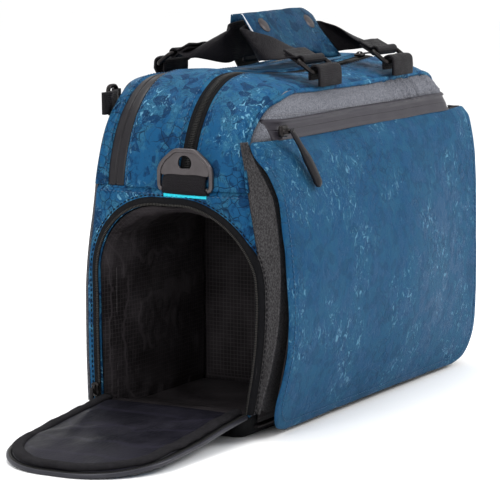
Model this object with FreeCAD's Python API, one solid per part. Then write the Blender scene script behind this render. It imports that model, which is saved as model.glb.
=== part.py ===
import FreeCAD, Part
import os
from math import cos, hypot, radians, sin

# Shoulder bag for camera gear, in millimetres. +X runs along the bag's length, -Y is the front
# with the flap, +Z is up, and the origin is the middle of the underside, on the ground.
# It stands with the padded door in its left end lying open on the ground.

# Driving dimensions
LENGTH = 402.0            # outside length of the body
FRONT_Y = -86.0           # outer face of the body's front wall
BACK_Y = 78.0             # outer face of the back panel
WALL = 4.0                # padded fabric wall
BASE_H = 20.0             # height of the base tray's rim
SEAM_Z = 206.0            # level seam on both ends, where the two long zips stop
TOP_R = 85.0              # rounded upper corners, seen from the front
FOOT_R = 16.0             # rounded lower corners, seen from the front

REAR_ZIP_Y = (36.0, 53.0)       # tape of the laptop zip
MAIN_ZIP_Y = (-31.5, -18.5)     # tape of the main zip
FRONT_H = 286.0                 # top seam at the front wall
CROWN_H = 297.0                 # flat middle of the top
BACK_H = 290.0                  # top seam at the back panel
CROWN_Y = (-50.0, 45.0)         # front and rear edge of the flat middle

BAY_Y = (-80.0, 62.0)     # side opening, front and rear edges
BAY_Z = (21.0, 192.0)     # side opening, sill and top
BAY_R = 60.0              # its rounded shoulders
DOOR_PIVOT = (-203.0, 20.0)     # x and z of the door's fold line
DOOR_OPEN_DEG = 95.5            # how far the door has dropped
DOOR_OUT_X = -206.0             # outer face of the door when it is shut

FLAP_HALF = 198.0         # half the length of the front flap
FLAP_TOP_Z = 240.0
FLAP_LOW_Z = 4.0
FLAP_BULGE_Z = 150.0      # height where the flap and pocket stand out furthest

ANCHOR_X = 70.0           # handle loops left and right of the middle
WEB_W = 40.0              # webbing width of the handles
WEB_T = 2.4               # webbing thickness
RING_R = 2.0              # wire radius of the metal rings
STRAP_RING_Y = -26.0      # shoulder strap rings on the two ends

HALF = LENGTH / 2.0
V = FreeCAD.Vector


def block(x, y, z):
    """Box between the two limits given for each axis."""
    return Part.makeBox(x[1] - x[0], y[1] - y[0], z[1] - z[0], V(x[0], y[0], z[0]))


def profile_x(points, x):
    """Polygon of (y, z) points, extruded from x[0] to x[1]."""
    corners = [V(x[0], y, z) for y, z in points]
    return Part.Face(Part.makePolygon(corners + corners[:1])).extrude(V(x[1] - x[0], 0, 0))


def mirrored(shape):
    """The same shape on the other end of the bag."""
    return shape.mirror(V(0, 0, 0), V(1, 0, 0))


def crown(y):
    """Height of the bag's top at a place between front and back."""
    steps = [(FRONT_Y, FRONT_H), (FRONT_Y + WALL, FRONT_H), (CROWN_Y[0], CROWN_H),
             (CROWN_Y[1], CROWN_H), (BACK_Y - WALL, BACK_H), (BACK_Y, BACK_H)]
    for (y0, h0), (y1, h1) in zip(steps, steps[1:]):
        if y <= y1:
            return h0 + (h1 - h0) * (y - y0) / (y1 - y0)
    return BACK_H


def rounded_outline(y, inset):
    """Body outline seen from the front, at one y, moved inwards by inset."""
    half = HALF - inset
    low = inset
    high = crown(y) - inset
    top = TOP_R - inset
    foot = FOOT_R - inset
    diag = cos(radians(45.0))
    edges = []
    edges.append(Part.LineSegment(V(-half, y, low + foot), V(-half, y, high - top)).toShape())
    edges.append(Part.Arc(V(-half, y, high - top),
                          V(-half + top * (1 - diag), y, high - top * (1 - diag)),
                          V(-half + top, y, high)).toShape())
    edges.append(Part.LineSegment(V(-half + top, y, high), V(half - top, y, high)).toShape())
    edges.append(Part.Arc(V(half - top, y, high),
                          V(half - top * (1 - diag), y, high - top * (1 - diag)),
                          V(half, y, high - top)).toShape())
    edges.append(Part.LineSegment(V(half, y, high - top), V(half, y, low + foot)).toShape())
    edges.append(Part.Arc(V(half, y, low + foot),
                          V(half - foot * (1 - diag), y, low + foot * (1 - diag)),
                          V(half - foot, y, low)).toShape())
    edges.append(Part.LineSegment(V(half - foot, y, low), V(-half + foot, y, low)).toShape())
    edges.append(Part.Arc(V(-half + foot, y, low),
                          V(-half + foot * (1 - diag), y, low + foot * (1 - diag)),
                          V(-half, y, low + foot)).toShape())
    return Part.Wire(edges)


def envelope(y, inset=0.0):
    """Solid body between two y stations that lie on one slope of the top."""
    return Part.makeLoft([rounded_outline(y[0], inset), rounded_outline(y[1], inset)], True, True)


def above(z):
    return block((-HALF - 20, HALF + 20), (FRONT_Y - 60, BACK_Y + 60), (z, CROWN_H + 60))


SLOPES = ((FRONT_Y + WALL, CROWN_Y[0]), CROWN_Y, (CROWN_Y[1], BACK_Y - WALL))


def hoop(y):
    """Fabric band over the top of the bag and down both ends to the level seam, between two y."""
    slab = block((-HALF - 1.0, HALF + 1.0), y, (SEAM_Z, CROWN_H + 10.0))
    pieces = [envelope(s).cut(envelope(s, WALL)).common(slab) for s in SLOPES]
    pieces = [p for p in pieces if p.Volume > 1.0]
    band = pieces[0]
    for piece in pieces[1:]:
        band = band.fuse(piece)
    return band


def arch(x, inset):
    """Face the shape of the side opening, moved inwards by inset and open-edged at the sill."""
    y0 = BAY_Y[0] + inset
    y1 = BAY_Y[1] - inset
    z0 = BAY_Z[0] + max(inset, 0.0)
    z1 = BAY_Z[1] - inset
    r = BAY_R - inset
    k = r * (1 - cos(radians(45.0)))
    edges = [Part.LineSegment(V(x, y0, z0), V(x, y0, z1 - r)).toShape(),
             Part.Arc(V(x, y0, z1 - r), V(x, y0 + k, z1 - k), V(x, y0 + r, z1)).toShape(),
             Part.LineSegment(V(x, y0 + r, z1), V(x, y1 - r, z1)).toShape(),
             Part.Arc(V(x, y1 - r, z1), V(x, y1 - k, z1 - k), V(x, y1, z1 - r)).toShape(),
             Part.LineSegment(V(x, y1, z1 - r), V(x, y1, z0)).toShape(),
             Part.LineSegment(V(x, y1, z0), V(x, y0, z0)).toShape()]
    return Part.Face(Part.Wire(edges))


def arch_slab(x, inset):
    return arch(x[0], inset).extrude(V(x[1] - x[0], 0, 0))


def circle_through(a, b, c):
    """Centre (y, z) and radius of the circle through three (y, z) points."""
    d = 2 * (a[0] * (b[1] - c[1]) + b[0] * (c[1] - a[1]) + c[0] * (a[1] - b[1]))
    squares = [p[0] ** 2 + p[1] ** 2 for p in (a, b, c)]
    y = (squares[0] * (b[1] - c[1]) + squares[1] * (c[1] - a[1]) + squares[2] * (a[1] - b[1])) / d
    z = (squares[0] * (c[0] - b[0]) + squares[1] * (a[0] - c[0]) + squares[2] * (b[0] - a[0])) / d
    return (y, z), hypot(a[0] - y, a[1] - z)


FLAP_CIRCLE = circle_through((-98.0, 245.0), (-120.0, FLAP_BULGE_Z), (-96.0, FLAP_LOW_Z))
POCKET_CIRCLE = circle_through((-92.0, 247.0), (-111.0, FLAP_BULGE_Z), (-90.0, 22.0))


def curved_sheet(circle, depth, x, z):
    """Sheet that bulges forwards; depth is (outer, inner) below the circle's radius."""
    (cy, cz), radius = circle
    rings = [Part.makeCylinder(radius - d, x[1] - x[0], V(x[0], cy, cz), V(1, 0, 0)) for d in depth]
    front = block(x, (cy - radius - 1, -60.0), z)
    return rings[0].cut(rings[1]).common(front)


def rounded_panel(half, z, low_r, high_r):
    """Solid seen from the front as a rectangle with rounded corners, deep enough to cut with."""
    corners = [(-half, z[0], low_r), (half, z[0], low_r), (half, z[1], high_r), (-half, z[1], high_r)]
    solid = block((-half, half), (-160.0, -60.0), z)
    for x, cz, r in corners:
        sx = -1 if x > 0 else 1
        sz = 1 if cz == z[0] else -1
        square = block(sorted((x, x + sx * r)), (-160.0, -60.0), sorted((cz, cz + sz * r)))
        disc = Part.makeCylinder(r, 100.0, V(x + sx * r, -160.0, cz + sz * r), V(0, 1, 0))
        solid = solid.cut(square.cut(disc))
    return solid


def wire_ring(corners, r):
    """Closed ring of round wire through its corner points."""
    ring = None
    for a, b in zip(corners, corners[1:] + corners[:1]):
        span = b.sub(a)
        rod = Part.makeCylinder(r, span.Length, a, span)
        ring = rod if ring is None else ring.fuse(rod)
        ring = ring.fuse(Part.makeSphere(r, a))
    return ring.removeSplitter()


# Body shell -------------------------------------------------------------------------------------

def base_tray():
    """Black tray that the bag stands on: floor and a low rim all round."""
    outer = rounded_outline(FRONT_Y, 0.0)
    solid = Part.Face(outer).extrude(V(0, BACK_Y - FRONT_Y, 0))
    hollow = Part.Face(rounded_outline(FRONT_Y, WALL)).extrude(V(0, BACK_Y - FRONT_Y, 0))
    hollow = hollow.common(block((-HALF, HALF), (FRONT_Y + WALL, BACK_Y - WALL), (0, CROWN_H)))
    return solid.cut(hollow).cut(above(BASE_H))


def back_panel():
    return envelope((BACK_Y - WALL, BACK_Y)).common(above(BASE_H))


def front_wall():
    return envelope((FRONT_Y, FRONT_Y + WALL)).common(above(BASE_H))


def front_gusset():
    return hoop((FRONT_Y + WALL, MAIN_ZIP_Y[0]))


def main_zip():
    return hoop(MAIN_ZIP_Y)


def center_gusset():
    return hoop((MAIN_ZIP_Y[1], REAR_ZIP_Y[0]))


def rear_zip():
    return hoop(REAR_ZIP_Y)


def rear_gusset():
    return hoop((REAR_ZIP_Y[1], BACK_Y - WALL))


def end_panel_right():
    return block((HALF - WALL, HALF), (FRONT_Y + WALL, BACK_Y - WALL), (BASE_H, SEAM_Z))


def end_panel_left():
    """End wall with the arched camera opening cut through it."""
    return mirrored(end_panel_right()).cut(arch_slab((-HALF - 1, -HALF + WALL + 1), 0.0))


def opening_zip():
    """Zip tape sewn round the arch, open along the sill."""
    tape = arch_slab((-HALF - 2.0, -HALF), -7.0).cut(arch_slab((-HALF - 3.0, -HALF + 1.0), 0.0))
    return tape.common(above(BAY_Z[0]))


# Inside -----------------------------------------------------------------------------------------

def inside(shape):
    """Keeps a piece clear of the rounded shell round it."""
    inner = Part.Face(rounded_outline(BACK_Y, WALL + 0.5)).extrude(V(0, FRONT_Y - BACK_Y, 0))
    return shape.common(inner)


def laptop_divider():
    """Padded wall between the camera space and the laptop sleeve, bent forwards to the rear zip."""
    bend = 214.0
    low = WALL + 0.5
    top = REAR_ZIP_Y[0]
    lean = [(60.0, low), (63.0, low), (63.0, bend), (top, CROWN_H), (top - 3.0, CROWN_H), (60.0, bend)]
    return inside(profile_x(lean, (-HALF + 8.0, HALF - 8.0)))


INSERT_X = (-184.0, 184.0)      # clear of the tray's rounded inner corners
INSERT_Z = (12.0, 186.0)        # from the top of the floor pad to the insert's rim


def insert_floor():
    return block(INSERT_X, (-81.5, 59.5), (WALL + 0.5, INSERT_Z[0]))


def insert_front_pad():
    return block(INSERT_X, (-81.8, -80.2), INSERT_Z)


def insert_rear_pad():
    return block(INSERT_X, (55.5, 59.5), INSERT_Z)


def insert_divider(x):
    """Removable padded divider across the camera insert."""
    return block((x - 4.0, x + 4.0), (-80.0, 55.3), (INSERT_Z[0] + 0.2, INSERT_Z[1] - 4.0))


# Door in the left end ---------------------------------------------------------------------------

def dropped(shape):
    """Turns a door piece from its shut place to where it lies, open."""
    turned = shape.copy()
    turned.rotate(V(DOOR_PIVOT[0], 0, DOOR_PIVOT[1]), V(0, 1, 0), -DOOR_OPEN_DEG)
    return turned


def door_panel():
    return dropped(arch_slab((DOOR_OUT_X, DOOR_OUT_X + 4.0), 6.0))


def door_zip_half():
    tape = arch_slab((DOOR_OUT_X + 1.5, DOOR_OUT_X + 4.0), 2.0)
    return dropped(tape.cut(arch_slab((DOOR_OUT_X, DOOR_OUT_X + 5.0), 6.0)))


def door_binding():
    rim = arch_slab((DOOR_OUT_X + 4.0, DOOR_OUT_X + 6.5), 4.0)
    return dropped(rim.cut(arch_slab((DOOR_OUT_X + 3.0, DOOR_OUT_X + 8.0), 13.0)))


def door_lining():
    return dropped(arch_slab((DOOR_OUT_X + 4.0, DOOR_OUT_X + 5.5), 13.0))


# Front pocket and flap --------------------------------------------------------------------------

POCKET_HALF = 198.0
POCKET_T = 2.5
POCKET_ZIP_Z = (247.5, 262.0)


def pocket_front():
    sheet = curved_sheet(POCKET_CIRCLE, (0.0, POCKET_T), (-POCKET_HALF, POCKET_HALF), (22.0, 247.0))
    return sheet.common(rounded_panel(POCKET_HALF, (22.0, 247.0), 14.0, 1.0))


def pocket_gusset():
    """Side and bottom walls that join the pocket's front to the body."""
    (cy, cz), radius = POCKET_CIRCLE
    x = (-POCKET_HALF, POCKET_HALF)
    drum = Part.makeCylinder(radius - POCKET_T, x[1] - x[0], V(x[0], cy, cz), V(1, 0, 0))
    body = drum.common(block(x, (-160.0, FRONT_Y), (22.0, 247.0)))
    body = body.common(rounded_panel(POCKET_HALF, (22.0, 247.0), 14.0, 1.0))
    return body.cut(rounded_panel(POCKET_HALF - 3.0, (25.0, 260.0), 11.0, 1.0))


def pocket_top_band():
    """Grey band between the top seam and the pocket zip."""
    band = profile_x([(FRONT_Y, FRONT_H), (-88.5, FRONT_H), (-92.3, 262.0), (FRONT_Y, 262.0)],
                     (-HALF, HALF))
    outline = Part.Face(rounded_outline(FRONT_Y, 2.0)).extrude(V(0, -20.0, 0))
    return band.common(outline)


def pocket_zip():
    low, high = POCKET_ZIP_Z
    strip = [(-89.8, high), (-92.3, high), (-94.0, low), (-91.5, low)]
    return profile_x(strip, (-176.0, 180.0))


PAD_X = (78.0, 142.0)
PAD_Z = (60.0, 95.0)


def pocket_loop_pads():
    """Soft half of the flap's touch fastener, two pads on the pocket."""
    pad = curved_sheet(POCKET_CIRCLE, (-1.2, 0.0), PAD_X, PAD_Z)
    return Part.makeCompound([pad, mirrored(pad)])


def flap_hook_pads():
    """Hook half of the touch fastener, two pads inside the flap."""
    pad = curved_sheet(FLAP_CIRCLE, (4.0, 5.2), PAD_X, PAD_Z)
    return Part.makeCompound([pad, mirrored(pad)])


def flap_shell():
    x = (-FLAP_HALF, FLAP_HALF)
    sheet = curved_sheet(FLAP_CIRCLE, (0.0, 2.5), x, (FLAP_LOW_Z, FLAP_TOP_Z))
    return sheet.common(rounded_panel(FLAP_HALF, (FLAP_LOW_Z, FLAP_TOP_Z), 38.0, 18.0))


def flap_lining():
    half = FLAP_HALF - 5.0
    z = (FLAP_LOW_Z + 5.0, FLAP_TOP_Z - 1.0)
    sheet = curved_sheet(FLAP_CIRCLE, (2.5, 4.0), (-half, half), z)
    return sheet.common(rounded_panel(half, z, 33.0, 15.0))


# Zip sliders and pulls --------------------------------------------------------------------------

def pocket_slider():
    body = block((-173.0, -161.0), (-98.4, -94.3), (248.6, 260.6))
    bridge = block((-169.5, -164.5), (-102.4, -98.4), (251.5, 252.9))
    arm = block((-169.5, -164.5), (-103.8, -102.4), (251.5, 256.6))
    return body.fuse(bridge).fuse(arm).removeSplitter()


def pocket_pull():
    """Long cord pull, hanging over the flap and leaning along it."""
    root = V(-167.0, -106.4, 254.0)
    tip = V(-141.0, -117.0, 206.0)
    along = tip.sub(root)
    out = V(0, -cos(radians(15.0)), sin(radians(15.0)))
    side = along.cross(out).normalize()
    out = side.cross(along).normalize()
    half_w = 3.2
    half_t = 1.3
    corners = []
    for s, t in ((-1, -1), (1, -1), (1, 1), (-1, 1)):
        corners.append(root + side * (s * half_w) + out * (t * half_t))
    return Part.Face(Part.makePolygon(corners + corners[:1])).extrude(along)


TOP_SLIDER_X = (104.0, 116.0)


def top_slider(mid_y):
    """Slider on a zip that runs along the bag's top, with the bridge that its pull hangs on."""
    z = CROWN_H + 0.3
    body = block(TOP_SLIDER_X, (mid_y - 4.5, mid_y + 4.5), (z, z + 3.0))
    bridge = block((111.0, 116.0), (mid_y - 1.2, mid_y + 1.2), (z + 3.0, z + 4.6))
    return body.fuse(bridge).removeSplitter()


def top_pull(mid_y):
    """Flat pull lying on the zip, past the end of its slider."""
    z = CROWN_H + 1.2
    x = (TOP_SLIDER_X[1] + 0.8, TOP_SLIDER_X[1] + 36.0)
    return block(x, (mid_y - 3.5, mid_y + 3.5), (z, z + 2.4))


def door_slider():
    body = block((-207.6, -203.4), (61.5, 70.5), (24.0, 36.0))
    bridge = block((-209.6, -207.6), (64.8, 67.2), (28.0, 33.0))
    return body.fuse(bridge).removeSplitter()


def door_pull():
    return block((-212.2, -210.3), (62.5, 69.5), (4.0, 32.0))


# Shoulder strap rings on the two ends -----------------------------------------------------------

RING_X = -206.2           # mid plane of the left ring
RING_Z = 207.0            # its pivot bar


def strap_ring():
    """Cast ring: a webbing bar, straight sides, sloping shoulders and a plate with a round eye."""
    y = STRAP_RING_Y
    x = (RING_X - 2.0, RING_X + 2.0)
    outline = [(-25, 207), (-25, 224), (-21, 230), (-8, 240), (8, 240), (21, 230), (25, 224), (25, 207)]
    plate = profile_x([(y + a, z) for a, z in outline], x)
    window = block((x[0] - 1, x[1] + 1), (y - 21.5, y + 21.5), (200.0, 219.0))
    eye = Part.makeCylinder(7.0, 6.0, V(x[0] - 1, y, 229.0), V(1, 0, 0))
    bar = Part.makeCylinder(2.0, 50.0, V(RING_X, y - 25.0, RING_Z), V(0, 1, 0))
    feet = [Part.makeCylinder(2.0, 3.5, V(RING_X, y + a, RING_Z), V(0, 1, 0)) for a in (-25.0, 21.5)]
    ring = plate.cut(window).cut(eye).fuse(bar)
    for foot in feet:
        ring = ring.fuse(foot)
    return ring.removeSplitter()


def strap_tab():
    """Webbing folded round the ring's bar and sewn into the level seam."""
    y = (STRAP_RING_Y - 20.0, STRAP_RING_Y + 20.0)
    tube = Part.makeCylinder(4.4, 40.0, V(RING_X, y[0], RING_Z), V(0, 1, 0))
    tail = block((-203.2, -HALF), y, (203.4, 207.0))
    eye = Part.makeCylinder(2.4, 42.0, V(RING_X, y[0] - 1, RING_Z), V(0, 1, 0))
    return tube.fuse(tail).cut(eye).removeSplitter()


def accent_tabs():
    """Bright stitched strip under each strap ring."""
    strip = block((-HALF - 1.2, -HALF), (STRAP_RING_Y - 20.0, STRAP_RING_Y + 20.0), (199.4, 203.0))
    return Part.makeCompound([strip, mirrored(strip)])


# Handles ----------------------------------------------------------------------------------------

# (y, z) of the loop that holds a handle's ring, and of the ring's far bar, front and rear
FRONT_BAR = (-84.0, 297.0)
FRONT_FAR = (-70.0, 307.0)
REAR_BAR = (70.0, 300.0)
REAR_FAR = (56.0, 310.0)


def handle_anchor(bar):
    """Webbing loop sewn on the bag's top, with the ring's bar inside it."""
    y, z = bar
    x = (ANCHOR_X - WEB_W / 2, ANCHOR_X + WEB_W / 2)
    outer = block(x, (y - 6.0, y + 6.0), (z - 11.0, z + 1.0))
    outer = outer.fuse(Part.makeCylinder(6.0, WEB_W, V(x[0], y, z + 1.0), V(1, 0, 0)))
    bore = (x[0] - 1, x[1] + 1)
    hollow = block(bore, (y - 3.6, y + 3.6), (z - 6.0, z + 1.0))
    hollow = hollow.fuse(Part.makeCylinder(3.6, WEB_W + 2, V(bore[0], y, z + 1.0), V(1, 0, 0)))
    loop = outer.cut(hollow).removeSplitter()
    for slope in SLOPES + ((BACK_Y - WALL, BACK_Y),):
        loop = loop.cut(envelope(slope))
    return loop


def handle_ring(bar, far):
    half = WEB_W / 2 + 2.6
    corners = [V(ANCHOR_X - half, *bar), V(ANCHOR_X + half, *bar), V(ANCHOR_X + half, *far),
               V(ANCHOR_X - half, *far)]
    return wire_ring(corners, RING_R)


def strap_section(center, width_dir, travel, width):
    """Rectangle across a strap, from its centre, width direction and direction of travel."""
    w = V(*width_dir).normalize()
    t = w.cross(V(*travel)).normalize()
    c = V(*center)
    corners = []
    for a, b in ((-1, -1), (1, -1), (1, 1), (-1, 1)):
        corners.append(c + w * (a * width / 2) + t * (b * WEB_T / 2))
    return Part.makePolygon(corners + corners[:1])


GRIP_HALF = 60.0          # half the length of the padded grip
FRONT_GRIP = (-24.0, 305.0, 4.0, 343.0)     # (y, z) of the front leaf's lower and upper edge
REAR_GRIP = (17.0, 305.0, 13.0, 343.0)      # the same for the rear leaf


def handle(far, grip, side):
    """One handle: a leg from each ring that twists on edge, and the flat run inside the grip."""
    y0, z0, y1, z1 = grip
    lean = (0.0, y1 - y0, z1 - z0)
    mid_y = (y0 + y1) / 2 + side * 3.0
    mid_z = (z0 + z1) / 2 - 1.0
    start_y = far[0] + side * 3.6
    web = WEB_W - 2.0
    reach = mid_y - start_y
    half = [((-ANCHOR_X, start_y, far[1] + 1.2), (1, 0, 0), (0, side, 0), web),
            ((-ANCHOR_X - 9, start_y + reach * 0.35, 317.0), (0.9, side * 0.1, 0.4), (0, side, 0.1), web),
            ((-ANCHOR_X - 10, start_y + reach * 0.7, 323.0), (0.4, side * 0.25, 0.9), (0.6, side * 0.8, 0), 35.0),
            ((-GRIP_HALF - 1, mid_y, mid_z), lean, (1, 0, 0), 35.0)]
    sections = [strap_section(*s) for s in half]
    for center, width_dir, travel, width in reversed(half):
        flipped = (-width_dir[0], width_dir[1], width_dir[2])
        heading = (travel[0], -travel[1], -travel[2])
        sections.append(strap_section((-center[0], center[1], center[2]), flipped, heading, width))
    return Part.makeLoft(sections, True, True)


def handle_end(far):
    """The strap's end folded round the ring's far bar."""
    y, z = far
    x0 = ANCHOR_X - WEB_W / 2 + 1.0
    tube = Part.makeCylinder(4.4, WEB_W - 2.0, V(x0, y, z), V(1, 0, 0))
    return tube.cut(Part.makeCylinder(2.4, WEB_W, V(x0 - 1, y, z), V(1, 0, 0)))


def grip_leaf(grip, side):
    """One padded leaf of the grip, standing on its handle."""
    y0, z0, y1, z1 = grip
    half = GRIP_HALF
    depth = 3.0 * side
    points = [(y0, z0), (y1, z1), (y1 - depth, z1), (y0 - depth, z0)]
    return profile_x(points, (-half, half))


def snap_discs(grip, side, radius, height, level):
    """Two press studs set into a leaf's outer face."""
    y0, z0, y1, z1 = grip
    share = (level - z0) / (z1 - z0)
    normal = V(0, -side * (z1 - z0), side * (y1 - y0)).normalize()
    base = V(0, y0 + (y1 - y0) * share - 3.0 * side, level)
    discs = [Part.makeCylinder(radius, height, base + V(x, 0, 0), normal) for x in (-40.0, 40.0)]
    return Part.makeCompound(discs)


# Rings on the back ------------------------------------------------------------------------------

BACK_RING = (-139.0, 83.4)      # x and y of the upright bar in the left back tab
BACK_RING_Z = (260.0, 284.0)


def back_tab():
    """Webbing tab on the back panel, folded round an upright ring bar."""
    x, y = BACK_RING
    z = (BACK_RING_Z[0] + 2.6, BACK_RING_Z[1] - 2.6)
    tube = Part.makeCylinder(4.2, z[1] - z[0], V(x, y, z[0]), V(0, 0, 1))
    tail = block((x, x + 42.0), (BACK_Y, BACK_Y + 2.6), z)
    eye = Part.makeCylinder(2.3, z[1] - z[0] + 2, V(x, y, z[0] - 1), V(0, 0, 1))
    return tube.fuse(tail).cut(eye).cut(block((x - 9, x + 9), (y - 12, BACK_Y), z)).removeSplitter()


def back_ring():
    x, y = BACK_RING
    low, high = BACK_RING_Z
    reach = 13.0
    corners = [V(x, y, low), V(x, y, high), V(x - reach, y, high), V(x - reach, y, low)]
    return wire_ring(corners, 1.9)


# All nodes --------------------------------------------------------------------------------------

def all_parts():
    main_mid = sum(MAIN_ZIP_Y) / 2
    rear_mid = sum(REAR_ZIP_Y) / 2
    parts = {
        "base_tray": base_tray(),
        "back_panel": back_panel(),
        "front_wall": front_wall(),
        "front_gusset": front_gusset(),
        "main_zip": main_zip(),
        "center_gusset": center_gusset(),
        "rear_zip": rear_zip(),
        "rear_gusset": rear_gusset(),
        "end_panel_left": end_panel_left(),
        "end_panel_right": end_panel_right(),
        "opening_zip": opening_zip(),
        "laptop_divider": laptop_divider(),
        "insert_floor": insert_floor(),
        "insert_front_pad": insert_front_pad(),
        "insert_rear_pad": insert_rear_pad(),
        "insert_divider_left": insert_divider(-40.0),
        "insert_divider_right": insert_divider(78.0),
        "door_panel": door_panel(),
        "door_zip_half": door_zip_half(),
        "door_binding": door_binding(),
        "door_lining": door_lining(),
        "pocket_front": pocket_front(),
        "pocket_gusset": pocket_gusset(),
        "pocket_top_band": pocket_top_band(),
        "pocket_zip": pocket_zip(),
        "pocket_loop_pads": pocket_loop_pads(),
        "flap_hook_pads": flap_hook_pads(),
        "flap_shell": flap_shell(),
        "flap_lining": flap_lining(),
        "pocket_slider": pocket_slider(),
        "pocket_pull": pocket_pull(),
        "main_slider": top_slider(main_mid),
        "main_pull": top_pull(main_mid),
        "rear_slider": top_slider(rear_mid),
        "rear_pull": top_pull(rear_mid),
        "door_slider": door_slider(),
        "door_pull": door_pull(),
        "accent_tabs": accent_tabs(),
        "grip_leaf_front": grip_leaf(FRONT_GRIP, 1),
        "grip_leaf_rear": grip_leaf(REAR_GRIP, -1),
        "snap_caps": snap_discs(FRONT_GRIP, 1, 7.5, 2.4, 331.0),
        "snap_sockets": snap_discs(REAR_GRIP, -1, 6.0, 1.8, 331.0),
    }
    for name, side, bar, far, grip in (("front", 1, FRONT_BAR, FRONT_FAR, FRONT_GRIP),
                                       ("rear", -1, REAR_BAR, REAR_FAR, REAR_GRIP)):
        ends = handle_end(far)
        parts["handle_" + name] = handle(far, grip, side).fuse(ends).fuse(mirrored(ends))
        anchor = handle_anchor(bar)
        ring = handle_ring(bar, far)
        parts["anchor_" + name + "_right"] = anchor
        parts["anchor_" + name + "_left"] = mirrored(anchor)
        parts["handle_ring_" + name + "_right"] = ring
        parts["handle_ring_" + name + "_left"] = mirrored(ring)
    for name, make in (("strap_ring", strap_ring), ("strap_tab", strap_tab),
                       ("back_tab", back_tab), ("back_ring", back_ring)):
        left = make()
        parts[name + "_left"] = left
        parts[name + "_right"] = mirrored(left)
    return parts


os.makedirs("parts", exist_ok=True)
for node, shape in all_parts().items():
    shape.exportStep("parts/" + node + ".step")
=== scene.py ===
import math

import bmesh
import bpy
from mathutils import Matrix, Quaternion, Vector, noise


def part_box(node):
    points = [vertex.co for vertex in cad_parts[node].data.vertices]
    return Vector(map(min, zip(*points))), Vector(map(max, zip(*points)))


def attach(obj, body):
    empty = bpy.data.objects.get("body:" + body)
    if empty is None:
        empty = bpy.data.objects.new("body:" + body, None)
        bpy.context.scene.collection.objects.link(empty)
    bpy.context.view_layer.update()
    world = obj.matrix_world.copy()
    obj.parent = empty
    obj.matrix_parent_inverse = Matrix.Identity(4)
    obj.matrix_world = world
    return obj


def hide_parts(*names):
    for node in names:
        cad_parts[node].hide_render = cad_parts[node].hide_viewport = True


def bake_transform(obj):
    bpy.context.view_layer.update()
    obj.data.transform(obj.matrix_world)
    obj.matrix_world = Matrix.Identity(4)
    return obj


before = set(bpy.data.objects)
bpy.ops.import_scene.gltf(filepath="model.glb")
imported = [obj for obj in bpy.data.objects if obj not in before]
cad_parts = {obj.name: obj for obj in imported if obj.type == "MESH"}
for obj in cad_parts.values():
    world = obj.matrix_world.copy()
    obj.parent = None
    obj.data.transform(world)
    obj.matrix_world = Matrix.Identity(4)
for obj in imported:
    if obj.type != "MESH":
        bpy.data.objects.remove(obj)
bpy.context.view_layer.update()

# Studio ------------------------------------------------------------------------------------------
# Plain pale sweep under three soft lamps: a large one high in front, a weak one on the bag's left
# end and one overhead, in an even pale room. The long lens stands off the left front corner.

CAMERA_AZIMUTH = math.radians(-60.3)
CAMERA_HEIGHT = math.radians(8.3)
CAMERA_DISTANCE = 2.164
CAMERA_ROLL = math.radians(-0.3)
CAMERA_LENS = 177.8
LOOK_AT = Vector((-0.0752, -0.0124, 0.1384))

lens = bpy.data.cameras.new("studio_lens")
lens.lens = CAMERA_LENS
lens.sensor_width = 36.0
camera = bpy.data.objects.new("studio_camera", lens)
bpy.context.collection.objects.link(camera)
toward = Vector((math.sin(CAMERA_AZIMUTH) * math.cos(CAMERA_HEIGHT),
                 -math.cos(CAMERA_AZIMUTH) * math.cos(CAMERA_HEIGHT),
                 math.sin(CAMERA_HEIGHT)))
camera.location = LOOK_AT + toward * CAMERA_DISTANCE
camera.rotation_mode = "QUATERNION"
camera.rotation_quaternion = (-toward).to_track_quat("-Z", "Y") @ Quaternion((0, 0, 1), CAMERA_ROLL)
bpy.context.scene.camera = camera
bpy.context.scene.view_settings.view_transform = "Standard"
bpy.context.scene.view_settings.gamma = 0.9


def lamp(name, place, aim, size, power):
    light = bpy.data.lights.new(name, "AREA")
    light.shape = "DISK"
    light.size = size
    light.energy = power
    obj = bpy.data.objects.new(name, light)
    obj.location = place
    obj.rotation_euler = (Vector(aim) - Vector(place)).to_track_quat("-Z", "Y").to_euler()
    bpy.context.collection.objects.link(obj)


lamp("key_lamp", (0.9, -1.7, 1.5), (0, 0, 0.15), 0.9, 30.0)
lamp("end_lamp", (-1.9, -0.1, 1.0), (-0.15, 0, 0.12), 0.6, 9.0)
lamp("top_lamp", (-0.2, 0.5, 2.0), (0, 0, 0.1), 1.0, 16.0)

world = bpy.data.worlds.new("pale_room")
world.use_nodes = True
world.node_tree.nodes["Background"].inputs["Color"].default_value = (1.0, 1.0, 1.0, 1.0)
world.node_tree.nodes["Background"].inputs["Strength"].default_value = 1.05
bpy.context.scene.world = world


class Value:
    """A socket in a material. Arithmetic on it adds Math nodes."""

    def __init__(self, paint, socket):
        self.paint = paint
        self.socket = socket

    def math(self, operation, first, second=0.0):
        return self.paint.node("Math", {"operation": operation}, {0: first, 1: second})

    def __add__(self, other):
        return self.math("ADD", self, other)

    def __sub__(self, other):
        return self.math("SUBTRACT", self, other)

    def __rsub__(self, other):
        return self.math("SUBTRACT", other, self)

    def __mul__(self, other):
        return self.math("MULTIPLY", self, other)

    def size(self):
        return self.math("ABSOLUTE", self)

    __radd__ = __add__
    __rmul__ = __mul__


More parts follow.
